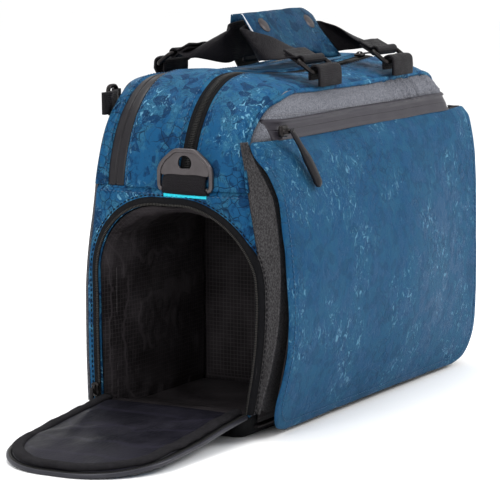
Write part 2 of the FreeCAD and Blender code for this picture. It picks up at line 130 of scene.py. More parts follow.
class Paint:
    """One material, built round a Principled shader."""

    def __init__(self, name, **constants):
        self.material = bpy.data.materials.new(name)
        self.material.use_nodes = True
        self.tree = self.material.node_tree
        self.shader = self.tree.nodes["Principled BSDF"]
        for label, value in constants.items():
            self.shader.inputs[label.replace("_", " ")].default_value = value

    def node(self, kind, settings, values, out=0):
        """Any node: its settings, then the values or links of its sockets; gives one output."""
        made = self.tree.nodes.new("ShaderNode" + kind)
        for key, value in settings.items():
            if key == "ramp":
                stops = made.color_ramp.elements
                while len(stops) < len(value):
                    stops.new(0.5)
                for stop, (place, color) in zip(stops, value):
                    stop.position = place
                    stop.color = (*color, 1.0)
            else:
                setattr(made, key, value)
        for key, value in values.items():
            if isinstance(value, Value):
                self.tree.links.new(value.socket, made.inputs[key])
            else:
                made.inputs[key].default_value = value
        return Value(self, made.outputs[out])

    def place(self):
        return self.node("TexCoord", {}, {}, out=3)

    def noise(self, where, scale, detail=3.0, rough=0.55, distortion=0.0):
        return self.node("TexNoise", {}, {"Vector": where, "Scale": scale, "Detail": detail,
                                          "Roughness": rough, "Distortion": distortion})

    def range(self, value, low, high, to_low=0.0, to_high=1.0):
        return self.node("MapRange", {"interpolation_type": "SMOOTHSTEP"},
                         {0: value, 1: low, 2: high, 3: to_low, 4: to_high})

    def mix(self, factor, first, second, blend="MIX"):
        settings = {"data_type": "RGBA", "blend_type": blend}
        first = first if isinstance(first, Value) else (*first, 1.0)
        second = second if isinstance(second, Value) else (*second, 1.0)
        return self.node("Mix", settings, {0: factor, 6: first, 7: second}, out=2)

    def stretch(self, where, x, y, z):
        return self.node("VectorMath", {"operation": "MULTIPLY"}, {0: where, 1: (x, y, z)})

    def bump(self, height, strength, distance, under=None):
        values = {"Strength": strength, "Distance": distance, "Height": height}
        if under:
            values["Normal"] = under
        return self.node("Bump", {}, values)

    def drive(self, label, value):
        self.tree.links.new(value.socket, self.shader.inputs[label])

    def axes(self, where):
        parts = self.node("SeparateXYZ", {}, {0: where})
        return [Value(self, socket) for socket in parts.socket.node.outputs]

    def threads(self, where, pitch):
        """Height of a plain weave of the given thread pitch in metres."""
        turn = 2 * math.pi / pitch
        waves = [axis.math("SINE", axis * turn) for axis in self.axes(where)]
        return waves[0] * waves[1] + waves[1] * waves[2] + waves[0] * waves[2]


floor_paint = Paint("pale_floor", Roughness=0.9)
grain = floor_paint.noise(floor_paint.place(), 6.0, 2.0)
floor_paint.drive("Base Color", floor_paint.mix(grain, (0.93, 0.93, 0.93), (0.97, 0.97, 0.97)))
FLOOR_HALF = 6.0
floor_mesh = bpy.data.meshes.new("studio_floor")
floor_mesh.from_pydata([(-FLOOR_HALF, -FLOOR_HALF, 0), (FLOOR_HALF, -FLOOR_HALF, 0),
                        (FLOOR_HALF, FLOOR_HALF, 0), (-FLOOR_HALF, FLOOR_HALF, 0)], [], [(0, 1, 2, 3)])
floor_mesh.materials.append(floor_paint.material)
floor = bpy.data.objects.new("studio_floor", floor_mesh)
bpy.context.collection.objects.link(floor)

# Base tray ---------------------------------------------------------------------------------------
# Black coated fabric over a stiff board, turned up 20 mm round the bag's foot. All lengths from
# here on are in millimetres; the mesh functions scale them to metres.

MM = 0.001


def corners(node):
    return [Vector(c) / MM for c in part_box(node)]


def piece(name, verts, faces, *paints, smooth=True):
    mesh = bpy.data.meshes.new(name)
    mesh.from_pydata([Vector(v) * MM for v in verts], [], faces)
    shell = bmesh.new()
    shell.from_mesh(mesh)
    if all(edge.is_manifold for edge in shell.edges):
        bmesh.ops.recalc_face_normals(shell, faces=shell.faces)
        shell.to_mesh(mesh)
    shell.free()
    mesh.polygons.foreach_set("use_smooth", [smooth] * len(mesh.polygons))
    for paint in paints:
        mesh.materials.append(paint.material)
    obj = bpy.data.objects.new(name, mesh)
    bpy.context.collection.objects.link(obj)
    return obj


def grid(us, vs, at, loop=False):
    """Points at(u, v) and the faces between them; loop joins the last u to the first."""
    verts = [at(u, v) for u in us for v in vs]
    rows, step = len(us), len(vs)
    faces = []
    for i in range(rows if loop else rows - 1):
        j = (i + 1) % rows
        for k in range(step - 1):
            faces.append((i * step + k, j * step + k, j * step + k + 1, i * step + k + 1))
    return verts, faces


def even(count, low=0.0, high=1.0):
    return [low + (high - low) * i / (count - 1) for i in range(count)]


def edged(count, low=0.0, high=1.0):
    """Like even, but closer together towards both ends."""
    return [low + (high - low) * (0.5 - 0.5 * math.cos(math.pi * i / (count - 1))) for i in range(count)]


def smooth(t):
    t = min(max(t, 0.0), 1.0)
    return t * t * (3.0 - 2.0 * t)


def ripple(point, size, seed=0.0):
    """Soft noise between -1 and 1 that changes over about size millimetres."""
    return noise.noise(Vector(point) / size + Vector((seed, seed * 1.7, seed * 0.3)))


def thick(obj, amount):
    """Gives a sheet its thickness behind its face."""
    wall = obj.modifiers.new("Thickness", "SOLIDIFY")
    wall.thickness = amount * MM
    wall.offset = -1.0
    return obj


def fitted(obj, slot, body, *nodes):
    """Puts a finished piece on its body and in place of its nodes; slot is not used."""
    if nodes:
        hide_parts(*nodes)
    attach(obj, body)


tray_high = corners("base_tray")[1]
HALF = tray_high.x
BASE_Z = tray_high.z
END_BULGE = 7.0


def front_edge(z):
    """y of the upright front corners: fullest at half height, drawn in above the level seam."""
    full = 14.5 * max(math.sin(math.pi * z / 222.0), 0.0) ** 1.2 if z < 222.0 else 0.0
    tuck = 3.5 * math.exp(-((z - 252.0) / 20.0) ** 2)
    return -78.0 - full + tuck - 5.0 * smooth((z - 272.0) / 15.0)


def back_edge(z):
    full = 1.5 * math.sin(math.pi * min(z / 180.0, 1.0))
    return 77.0 + full - 11.5 * smooth((z - 110.0) / 130.0) + 5.0 * smooth((z - 274.0) / 13.0)


def slump(x, z):
    """How far the right upper corner has settled inwards."""
    return -9.0 * smooth((x - 60.0) / 110.0) * smooth((z - 196.0) / 60.0)


def end_bulge(y, z):
    """How far the fabric of an end stands out between its seams."""
    across = (y - front_edge(z)) / (back_edge(z) - front_edge(z))
    across = math.sin(math.pi * min(max(across, 0.0), 1.0)) ** 0.8
    return END_BULGE * across * math.sin(math.pi * min(max((z - 16.0) / 284.0, 0.0), 1.0))


tray_paint = Paint("black_coated_base", Roughness=0.62, Specular_IOR_Level=0.15)
at = tray_paint.place()
scuff = tray_paint.range(tray_paint.noise(at, 90.0, 5.0), 0.45, 0.75)
tray_paint.drive("Base Color", tray_paint.mix(scuff, (0.003, 0.003, 0.004), (0.012, 0.012, 0.014)))
tray_paint.drive("Roughness", scuff * 0.2 + 0.5)
tray_paint.drive("Normal", tray_paint.bump(tray_paint.threads(at, 0.0011), 0.35, 0.0003))

TRAY_CORNER = 13.0


def tray_ring(inset, z):
    """Rounded rectangle round the tray at one height."""
    x1 = HALF - inset
    y0 = front_edge(z) + 1.0 + inset
    y1 = back_edge(z) - 1.0 - inset
    r = max(TRAY_CORNER - inset, 2.0)
    ring = []
    centers = ((x1 - r, y1 - r), (-x1 + r, y1 - r), (-x1 + r, y0 + r), (x1 - r, y0 + r))
    for turn, (cx, cy) in enumerate(centers):
        for i in range(9):
            a = math.radians(turn * 90.0 + i * 11.25)
            ring.append(Vector((cx + r * math.cos(a), cy + r * math.sin(a), z)))
        start = ring[-1]
        ends = {0: Vector((-x1 + r, y1, z)), 1: Vector((-x1, y0 + r, z)),
                2: Vector((x1 - r, y0, z)), 3: Vector((x1, y1 - r, z))}
        for i in range(1, 24):
            ring.append(start.lerp(ends[turn], i / 24.0))
    for p in ring:
        p.xy += Vector((p.x, p.y)).normalized() * 0.5 * ripple(p, 30.0, 3.0)
    return ring


TRAY_ROWS = [(60.0, 0.0), (8.0, 0.0), (4.5, 0.4), (2.0, 2.0), (0.6, 5.0), (0.0, 9.0), (-0.4, 14.0),
             (-0.3, 18.0), (0.4, 20.0), (2.4, 20.6), (4.5, 19.0)]
rings = [tray_ring(*row) for row in TRAY_ROWS]
count = len(rings[0])
verts, faces = grid(range(count), range(len(rings)), lambda i, k: rings[k][i], loop=True)
faces.append([i * len(rings) for i in range(count)])
tray = piece("base_skirt", verts, faces, tray_paint)
fitted(tray, "black_base", "root", "base_tray")

# Blue body fabric --------------------------------------------------------------------------------
# Coated polyester with a tonal print: dark shards and paler patches on steel blue. The pale streaks
# and fine pale lines over it are painted highlights, the gleams of its glossy coating. Padded with
# 3 mm foam, so seams sink into it.


def blue_fabric(name, contrast, lift, gleams):
    """contrast is that of the dark print, lift its overall lightness, gleams how many painted highlights
    show.
    """
    paint = Paint(name, Roughness=0.46, Specular_IOR_Level=0.07)
    where = paint.place()
    swirl = paint.node("TexNoise", {}, {"Vector": where, "Scale": 45.0, "Detail": 2.0}, out=1)
    wander = paint.node("VectorMath", {"operation": "MULTIPLY_ADD"}, {0: swirl, 1: (0.012,) * 3, 2: where})
    patch = paint.noise(wander, 60.0, 4.0, 0.65)
    shard = paint.node("TexVoronoi", {"feature": "F1"}, {"Vector": wander, "Scale": 120.0}, out=1)
    shard = paint.node("SeparateColor", {}, {0: shard})
    mark = paint.noise(wander, 150.0, 3.0, 0.6, 0.6)
    gleam_noise = paint.noise(paint.stretch(wander, 1.0, 1.0, 0.6), 210.0, 4.0, 0.65, 0.8)
    cell = paint.node("TexVoronoi", {"feature": "DISTANCE_TO_EDGE"}, {"Vector": wander, "Scale": 115.0})
    region = paint.range(paint.noise(where, 17.0, 2.0), 0.46, 0.60)
    crackle = paint.range(cell, 0.0, 0.06, 1.0, 0.0) * paint.range(paint.noise(where, 13.0, 2.0), 0.5, 0.4)
    mid = (0.010 * lift, 0.074 * lift, 0.164 * lift)
    deep = (0.003 * lift, 0.026 * lift, 0.078 * lift)
    ink = (0.003 * lift, 0.012 * lift, 0.034 * lift)
    grey = (0.026 * lift, 0.110 * lift, 0.186 * lift)
    pale = (0.140 * lift, 0.320 * lift, 0.440 * lift)
    color = paint.mix(paint.range(patch, 0.44, 0.56) * (0.35 + 0.45 * contrast), mid, grey)
    shards = paint.range(shard, 0.70, 0.75) * paint.range(patch, 0.36, 0.50)
    color = paint.mix(shards * (0.8 * contrast), color, deep)
    outline = paint.range((mark - 0.5).size(), 0.0, 0.018, 1.0, 0.0)
    color = paint.mix(outline * paint.range(patch, 0.40, 0.55) * (0.75 * contrast), color, ink)
    color = paint.mix(crackle * (0.85 * contrast), color, ink)
    color = paint.mix(paint.range(mark, 0.57, 0.62) * (0.5 * contrast), color, deep)
    # Pale streaks and fine pale hairlines: painted highlights, the gleams of the glossy coating.
    painted_gleam = paint.range(gleam_noise, 0.56, 0.64) * region
    color = paint.mix(painted_gleam * (0.8 * gleams), color, pale)
    painted_gleam_line = paint.range((gleam_noise - 0.42).size(), 0.0, 0.014, 1.0, 0.0)
    color = paint.mix(painted_gleam_line * region * (0.5 * gleams), color, pale)
    paint.drive("Base Color", color)
    paint.drive("Roughness", paint.range(patch, 0.42, 0.52) * 0.14 + 0.40)
    weave = paint.bump(paint.threads(where, 0.0009), 0.10, 0.0002)
    height = outline * -0.5 + painted_gleam * 0.8 + crackle * -0.8 + paint.range(mark, 0.5, 0.6) * -0.4
    paint.drive("Normal", paint.bump(height, 0.45, 0.0008, weave))
    return paint


body_paint = blue_fabric("blue_print_body", 1.0, 1.06, 1.1)
flap_paint = blue_fabric("blue_print_flap", 0.30, 0.84, 0.8)
# The grip leaves take a darker copy of the same fabric: painted shade on the upright leaves.
shaded_grip_paint = blue_fabric("blue_print_grip_painted_shade", 0.7, 0.58, 0.6)

SEAM_Z = corners("end_panel_right")[1].z
CORNER_R = 85.0
TOP_Z = 288.0


def crown(x, y):
    """Height of the soft top above its front seam line, with the sag between the corners."""
    across = min(max((y + 81.0) / 157.0, 0.0), 1.0)
    dome = math.sin(math.pi * across) ** 0.75
    along = max(1.0 - (x / 150.0) ** 2, 0.0)
    return -2.0 + 3.0 * across + 13.0 * dome - (2.0 + 6.0 * dome) * along ** 1.5


def hoop_point(t):
    """Side outline of the upper body: x, z and the outward direction, t from left to right seam."""
    start = math.asin((SEAM_Z - TOP_Z + CORNER_R) / CORNER_R)
    arc = CORNER_R * (math.pi / 2 - start)
    flat = 2 * (HALF - CORNER_R)
    d = t * (2 * arc + flat)
    if d > arc + flat:
        x, z, nx, nz = hoop_point(1.0 - t)
        return -x, z, -nx, nz
    if d > arc:
        return -HALF + CORNER_R + d - arc, TOP_Z, 0.0, 1.0
    a = start + d / CORNER_R
    across, up = math.cos(a), math.sin(a)
    return -HALF + CORNER_R * (1 - across), TOP_Z - CORNER_R * (1 - up), -across, up


# y of each seam line
SEAMS = {"front": None, "main_front": -31.5, "main_rear": -18.5, "rear_front": 36.0, "rear_rear": 53.0,
         "back": None}


def seam_y(name, z):
    if name == "front":
        return front_edge(z)
    if name == "back":
        return back_edge(z)
    return SEAMS[name]


def skin(t, low, high, share, sink=0.0, fold=0.5):
    """Point of the upper body, a share of the way between two seam lines, sunk below the surface."""
    x, z, nx, nz = hoop_point(t)
    y0 = seam_y(low, z)
    y1 = seam_y(high, z)
    y = y0 + (y1 - y0) * share
    rise = smooth((z - SEAM_Z) / (TOP_Z - SEAM_Z))
    stand = end_bulge(y, z) - sink
    p = Vector((x, y, z + crown(x, y) * rise))
    stand += fold * (1.6 * ripple(p, 46.0, 1.0) + 0.7 * ripple(p, 17.0, 2.0))
    p.x += slump(x, z)
    return p + Vector((nx, 0, nz)) * stand


def hem(share, width, drop=2.2, reach=2.6):
    """Sink of a panel towards its two long edges, where it is sewn."""
    near = min(share, 1.0 - share) * width
    return drop * math.exp(-(near / reach) ** 2)


def hoop_band(name, low, high, width, across, paint, sink, wall=2.5):
    verts, faces = grid(even(230), across, lambda t, s: skin(t, low, high, s, sink(s, width)))
    return thick(piece(name, verts, faces, paint), wall)


def stitch_run(name, path, outward, paint, pitch=4.4, length=3.1, girth=0.42):
    """Row of thread stitches lying on a seam; outward holds the surface direction at each point."""
    verts = []
    faces = []
    gone = 0.0
    lengths = [0.0]
    for a, b in zip(path, path[1:]):
        lengths.append(lengths[-1] + (b - a).length)

    def at(d):
        k = 0
        while k < len(lengths) - 2 and lengths[k + 1] < d:
            k += 1
        share = (d - lengths[k]) / max(lengths[k + 1] - lengths[k], 1e-6)
        return path[k].lerp(path[k + 1], share), outward[k].lerp(outward[k + 1], share).normalized()

    while gone + length < lengths[-1]:
        (a, up), (b, _) = at(gone), at(gone + length)
        along = (b - a).normalized()
        side = along.cross(up).normalized()
        base = len(verts)
        verts.append(a - up * girth)
        for share, swell in ((0.16, 0.85), (0.5, 1.15), (0.84, 0.85)):
            mid = a.lerp(b, share) + up * girth * 0.5 * swell
            for i in range(6):
                turn = math.radians(60.0 * i)
                verts.append(mid + (side * math.cos(turn) + up * math.sin(turn)) * girth * swell)
        verts.append(b - up * girth)
        for i in range(6):
            j = (i + 1) % 6
            faces.append((base, base + 1 + j, base + 1 + i))
            faces.append((base + 1 + i, base + 1 + j, base + 7 + j, base + 7 + i))
            faces.append((base + 7 + i, base + 7 + j, base + 13 + j, base + 13 + i))
            faces.append((base + 19, base + 13 + i, base + 13 + j))
        gone += pitch
    return piece(name, verts, faces, paint)


blue_thread = Paint("blue_thread", Roughness=0.6)
at = blue_thread.place()
tone = blue_thread.noise(at, 900.0, 1.0)
blue_thread.drive("Base Color", blue_thread.mix(tone, (0.012, 0.05, 0.12), (0.04, 0.12, 0.22)))
blue_thread.drive("Normal", blue_thread.bump(blue_thread.noise(at, 2600.0, 1.0), 0.5, 0.0002))


def hoop_stitches(name, low, high, share, sink):
    ts = even(200, 0.004, 0.996)
    path = [skin(t, low, high, share, sink) for t in ts]
    outward = [Vector((hoop_point(t)[2], 0, hoop_point(t)[3])) for t in ts]
    line = stitch_run(name, path, outward, blue_thread)
    fitted(line, "blue_fabric", "root")


GUSSETS = [("front_gusset_skin", "front_gusset", "front", "main_front", 42.0),
           ("center_gusset_skin", "center_gusset", "main_rear", "rear_front", 65.0),
           ("rear_gusset_skin", "rear_gusset", "rear_rear", "back", 24.0)]
for name, node, low, high, width in GUSSETS:
    rows = edged(20 if width < 50 else 30)
    band = hoop_band(name, low, high, width, rows, body_paint, hem)
    fitted(band, "blue_fabric", "root", node)
    for side, share in (("a", 3.6 / width), ("b", 1 - 3.6 / width)):
        if (node, side) in (("front_gusset", "a"), ("rear_gusset", "b")):
            continue
        hoop_stitches(node + "_stitches_" + side, low, high, share, 0.25)

# Long zips over the top --------------------------------------------------------------------------
# The main zip shows its black nylon coil between two folded edges. The laptop zip is turned over
# and coated, so it is a smooth dark band with a fine parting line.

coil_paint = Paint("black_zip_coil", Roughness=0.35, Specular_IOR_Level=0.35)
tone = coil_paint.noise(coil_paint.place(), 300.0, 2.0)
coil_paint.drive("Base Color", coil_paint.mix(tone, (0.006, 0.006, 0.006), (0.03, 0.029, 0.028)))
tape_paint = Paint("black_zip_tape", Roughness=0.8, Specular_IOR_Level=0.12)
at = tape_paint.place()
tone = tape_paint.noise(at, 500.0, 2.0)
tape_paint.drive("Base Color", tape_paint.mix(tone, (0.004, 0.004, 0.005), (0.014, 0.014, 0.016)))
tape_paint.drive("Normal", tape_paint.bump(tape_paint.threads(at, 0.0008), 0.5, 0.0003))
coated_paint = Paint("coated_zip_band", Roughness=0.4, Specular_IOR_Level=0.3)
at = coated_paint.place()
wear = coated_paint.noise(at, 60.0, 4.0)
coated_paint.drive("Base Color", coated_paint.mix(wear, (0.006, 0.005, 0.007), (0.019, 0.017, 0.02)))
coated_paint.drive("Roughness", coated_paint.range(wear, 0.3, 0.7) * 0.2 + 0.32)
coated_paint.drive("Normal", coated_paint.bump(coated_paint.noise(at, 700.0, 3.0), 0.25, 0.0002))


def coil(name, path, outward, paint, half_width, pitch=1.5, wire=0.55):
    """Closed zip chain: one rounded link across the chain at every pitch."""
    verts = []
    faces = []
    steps = 7
    total = 0.0
    due = 0.0
    for a, b, up in zip(path, path[1:], outward):
        span = (b - a).length
        along = (b - a).normalized()
        side = along.cross(up).normalized()
        while due <= total + span:
            center = a + along * (due - total)
            base = len(verts)
            for i in range(steps):
                turn = math.pi * i / (steps - 1)
                spine = center + side * half_width * math.cos(turn) + up * 0.9 * math.sin(turn)
                out = (side * math.cos(turn) + up * math.sin(turn)).normalized()
                for j in range(4):
                    c, s = math.cos(math.pi * j / 2), math.sin(math.pi * j / 2)
                    verts.append(spine + (out * c + along * s) * wire)
            for i in range(steps - 1):
                for j in range(4):
                    k = (j + 1) % 4
                    row = base + 4 * i
                    faces.append((row + j, row + k, row + 4 + k, row + 4 + j))
            due += pitch
        total += span
    return piece(name, verts, faces, paint)


def zip_sink(share, width):
    return 2.0 + 0.5 * math.exp(-((share - 0.5) * width / 1.2) ** 2)


def coated_sink(share, width):
    """Two lips that roll together along the middle."""
    return 1.3 + 1.2 * math.exp(-((share - 0.5) * width / 0.7) ** 2) + 0.9 * (abs(share - 0.5) * 2) ** 6


main_band = hoop_band("main_zip_tape", "main_front", "main_rear", 13.0, even(9), tape_paint, zip_sink, 0.8)
fitted(main_band, "coil_zip", "root", "main_zip")
ts = even(240, 0.002, 0.998)
chain = coil("main_zip_chain", [skin(t, "main_front", "main_rear", 0.5, 2.0) for t in ts],
             [Vector((hoop_point(t)[2], 0, hoop_point(t)[3])) for t in ts], coil_paint, 2.7)
fitted(chain, "coil_zip", "root")
rear_band = hoop_band("rear_zip_lips", "rear_front", "rear_rear", 17.0, even(29), coated_paint,
                      coated_sink, 1.2)
fitted(rear_band, "coated_zip", "root", "rear_zip")

# Ends below the level seam -----------------------------------------------------------------------
# Blue fabric over foam. The left end is cut out in an arch for the camera door; the right one is
# whole. Both tuck under the upper body along the level seam, with a row of stitches each side.

ARCH_LOW, ARCH_HIGH = corners("opening_zip")
TAPE_W = 7.0
BAY_REAR = ARCH_HIGH.y - TAPE_W
BAY_FRONT = ARCH_LOW.y + TAPE_W
BAY_TOP = ARCH_HIGH.z - TAPE_W
SILL_Z = ARCH_LOW.z
ARCH_R = 60.0


def arch_line(t, inset=0.0):
    """(y, z) of the side opening's edge, t from the rear sill over the top to the front sill."""
    y0, y1, z1 = BAY_FRONT + inset, BAY_REAR - inset, BAY_TOP - inset
    r = ARCH_R - inset
    leg = z1 - r - SILL_Z
    arc = r * math.pi / 2
    flat = y1 - y0 - 2 * r
    d = t * (2 * leg + 2 * arc + flat)
    if d < leg:
        y, z = y1, SILL_Z + d
    elif d < leg + arc:
        a = (d - leg) / r
        y, z = y1 - r + r * math.cos(a), z1 - r + r * math.sin(a)
    elif d < leg + arc + flat:
        y, z = y1 - r - (d - leg - arc), z1
    elif d < leg + 2 * arc + flat:
        a = (d - leg - arc - flat) / r
        y, z = y0 + r - r * math.sin(a), z1 - r + r * math.cos(a)
    else:
        y, z = y0, z1 - r - (d - leg - 2 * arc - flat)
    middle = (y0 + y1) / 2
    pull = front_edge(z) + 3.0 - BAY_FRONT
    return y + pull * smooth((middle - y) / (middle - y0)), z


def end_surface(y, z, sink=0.0, fold=0.5):
    """Point on the left end, below the level seam."""
    edge = min(y - front_edge(z), back_edge(z) - y)
    sunk = sink + 3.0 * math.exp(-(max(edge, 0.0) / 3.0) ** 2) + 2.4 * math.exp(-((SEAM_Z - z) / 2.4) ** 2)
    p = Vector((-HALF, y, z))
    wave = fold * (1.4 * ripple(p, 38.0, 5.0) + 0.6 * ripple(p, 14.0, 6.0))
    return Vector((-HALF - end_bulge(y, z) + sunk - wave, y, z))


def end_rim(t):
    """(y, z) on the outer edge of the left end, opposite arch_line(t)."""
    a = smooth(t) * 0.35 + t * 0.65
    if a < 0.36:
        z = BASE_Z - 1.0 + (SEAM_Z - BASE_Z + 1.0) * a / 0.36
        return back_edge(z), z
    if a < 0.64:
        y0, y1 = back_edge(SEAM_Z), front_edge(SEAM_Z)
        return y0 + (y1 - y0) * (a - 0.36) / 0.28, SEAM_Z
    z = SEAM_Z - (SEAM_Z - BASE_Z + 1.0) * (a - 0.64) / 0.36
    return front_edge(z), z


def end_frame(t, share):
    y0, z0 = arch_line(t)
    y1, z1 = end_rim(t)
    y = y0 + (y1 - y0) * share
    z = z0 + (z1 - z0) * share
    roll = 2.0 * math.exp(-(share * max(abs(y1 - y0) + abs(z1 - z0), 1.0) / 1.6) ** 2)
    return end_surface(y, z, roll)


verts, faces = grid(even(180), edged(16), end_frame)
left_end = thick(piece("left_end_skin", verts, faces, body_paint), 2.5)
fitted(left_end, "blue_fabric", "root", "end_panel_left")


def right_end_at(share, z):
    y = front_edge(z) + (back_edge(z) - front_edge(z)) * share
    p = end_surface(y, z)
    return Vector((-p.x, p.y, p.z))


verts, faces = grid(edged(36), edged(40, BASE_Z - 1.0, SEAM_Z), right_end_at)
right_end = thick(piece("right_end_skin", verts, faces, body_paint), 2.5)
fitted(right_end, "blue_fabric", "root", "end_panel_right")

for side, name in ((1, "left"), (-1, "right")):
    ys = even(60, front_edge(SEAM_Z) + 5, back_edge(SEAM_Z) - 5)
    path = [end_surface(y, SEAM_Z - 4.5, -0.2) for y in ys]
    path = [Vector((side * p.x, p.y, p.z)) for p in path]
    line = stitch_run("level_seam_stitches_" + name, path, [Vector((-side, 0, 0))] * len(path), blue_thread)
    fitted(line, "blue_fabric", "root")

# Back panel --------------------------------------------------------------------------------------
# The side worn against the body: heather grey fabric over foam, quilted with three upright
# channels, its edge turned in where it meets the blue fabric.


def heather(name, pale, dark):
    paint = Paint(name, Roughness=0.85, Specular_IOR_Level=0.15)
    where = paint.place()
    slub = paint.noise(paint.stretch(where, 1.0, 1.0, 0.5), 1100.0, 3.0, 0.7)
    speck = paint.noise(where, 1700.0, 2.0, 0.8)
    color = paint.mix(paint.range(slub, 0.36, 0.64), dark, pale)
    color = paint.mix(paint.range(speck, 0.5, 0.75) * 0.5, color, tuple(min(c * 1.45, 1.0) for c in pale))
    paint.drive("Base Color", color)
    paint.drive("Normal", paint.bump(slub * 0.6 + paint.threads(where, 0.0012) * 0.4, 0.45, 0.0005))
    return paint


grey_paint = heather("heather_grey", (0.185, 0.19, 0.214), (0.09, 0.093, 0.108))
back_paint = heather("heather_back", (0.11, 0.112, 0.125), (0.04, 0.04, 0.048))


def outline_half(z):
    """Half length of the body at one height, in the rounded outline seen from the front."""
    over = max(z - (TOP_Z - CORNER_R), 0.0)
    return HALF - CORNER_R + math.sqrt(max(CORNER_R ** 2 - over ** 2, 0.0))


BACK_CHANNELS = (-95.0, 0.0, 95.0)


def back_at(share, z):
    x = outline_half(z) * (2 * share - 1)
    rise = smooth((z - SEAM_Z) / (TOP_Z - SEAM_Z))
    edge = min(outline_half(z) - abs(x), TOP_Z - z + 1.0, z - BASE_Z + 4.0)
    pad = 3.0 * (1 - math.exp(-(max(edge, 0.0) / 7.0) ** 2))
    for channel in BACK_CHANNELS:
        pad -= 3.2 * math.exp(-((x - channel) / 4.5) ** 2) * smooth((edge - 18.0) / 12.0)
    p = Vector((x, 0.0, z))
    pad += 0.8 * ripple(p, 60.0, 8.0)
    return Vector((x + slump(x, z), back_edge(z) - 1.5 + pad, z + crown(x, back_edge(z)) * rise))


verts, faces = grid(edged(110), edged(70, BASE_Z - 1.0, TOP_Z), back_at)
back = thick(piece("back_padding", verts, [f[::-1] for f in faces], back_paint), 2.5)
fitted(back, "grey_fabric", "root", "back_panel")

# Bay lining and camera insert --------------------------------------------------------------------
# Dark ripstop nylon gathered into the side opening and hanging in folds round the padded camera
# insert: a floor pad, front and rear pads and two cross dividers, all loose foam in nylon.


def ripstop(name, base, pale, gloss):
    paint = Paint(name, Roughness=gloss, Specular_IOR_Level=0.2)
    where = paint.place()
    lines = None
    for axis in paint.axes(where):
        wave = axis.math("SINE", axis * (2 * math.pi / 0.0036))
        line = paint.range(wave, 0.82, 0.98)
        lines = line if lines is None else lines.math("MAXIMUM", lines, line)
    # Pale patches: painted sheen, the highlights on the glossy nylon; the same noise also varies the
    # roughness.
    sheen_patch = paint.noise(where, 26.0, 4.0)
    color = paint.mix(paint.range(sheen_patch, 0.35, 0.7), base, pale)
    color = paint.mix(lines * 0.5, color, tuple(c * 1.9 for c in pale))
    paint.drive("Base Color", color)
    paint.drive("Roughness", paint.range(sheen_patch, 0.3, 0.7) * 0.2 + gloss)
    fold = paint.bump(paint.noise(where, 75.0, 5.0, 0.6), 0.35, 0.002)
    paint.drive("Normal", paint.bump(lines, 0.25, 0.0003, fold))
    return paint


bay_paint = ripstop("brown_ripstop", (0.014, 0.012, 0.013), (0.040, 0.035, 0.038), 0.42)
door_paint = ripstop("navy_ripstop", (0.003, 0.003, 0.006), (0.011, 0.010, 0.017), 0.42)
INSIDE_X = -47.0


def bay_section(t, deep):
    """(y, z) round the closed throat of the bay; deep runs from the opening to the divider."""
    if t < 0.7:
        y, z = arch_line(t / 0.7, 0.6)
    else:
        y0, _ = arch_line(1.0, 0.6)
        y1, _ = arch_line(0.0, 0.6)
        y, z = y0 + (y1 - y0) * (t - 0.7) / 0.3, SILL_Z - 1.0
    wide = smooth(deep / 0.45)
    grown_y = min(max((y + 9.0) * (1.0 + 0.10 * wide) - 9.0, -78.6), 53.6)
    y = y + (grown_y - y) * wide
    z = z + ((12.9 if t >= 0.7 else z + (188.0 - BAY_TOP) * smooth((z - 100) / 80)) - z) * wide
    return y, z


def bay_at(t, deep):
    y, z = bay_section(t, deep)
    mouth = -HALF - end_bulge(y, z) + 2.2
    x = mouth + (INSIDE_X - mouth) * deep ** 1.15
    inward = Vector((0.0, -9.0 - y, 100.0 - z)).normalized()
    slack = smooth(deep / 0.12) * (1.0 - 0.55 * deep)
    if t >= 0.7:
        slack *= 0.25
    top = smooth((z - 120.0) / 60.0)
    droop = (4.5 + 5.0 * top) * (0.5 + 0.5 * ripple((x * 0.35, t * 420.0, 0), 24.0, 11.0))
    droop += 2.2 * abs(ripple((x, t * 520.0, 7.0), 13.0, 12.0))
    return Vector((x, y, z)) + inward * (0.4 + slack * droop)


verts, faces = grid(even(260), even(64), bay_at, loop=True)
bay_lining = piece("bay_lining", verts, faces, bay_paint)
fitted(bay_lining, "lining", "root")
around = 0.0
ring = [bay_section(i / 60.0, 0.5) for i in range(61)]
for (y0, z0), (y1, z1) in zip(ring, ring[1:]):
    around += math.hypot(y1 - y0, z1 - z0)


def closed_pad(us, vs, front, rear):
    """Closed shell between two grids of points, joined round their common rim."""
    n, m = len(us), len(vs)
    verts = [front(u, v) for u in us for v in vs] + [rear(u, v) for u in us for v in vs]
    faces = []
    for i in range(n - 1):
        for k in range(m - 1):
            quad = (i * m + k, (i + 1) * m + k, (i + 1) * m + k + 1, i * m + k + 1)
            faces.append(quad)
            faces.append(tuple(n * m + c for c in reversed(quad)))
    rim = [i * m for i in range(n)] + [(n - 1) * m + k for k in range(1, m)]
    rim += [i * m + m - 1 for i in range(n - 2, -1, -1)] + [k for k in range(m - 2, 0, -1)]
    for a, b in zip(rim, rim[1:] + rim[:1]):
        faces.append((b, a, n * m + a, n * m + b))
    return verts, faces


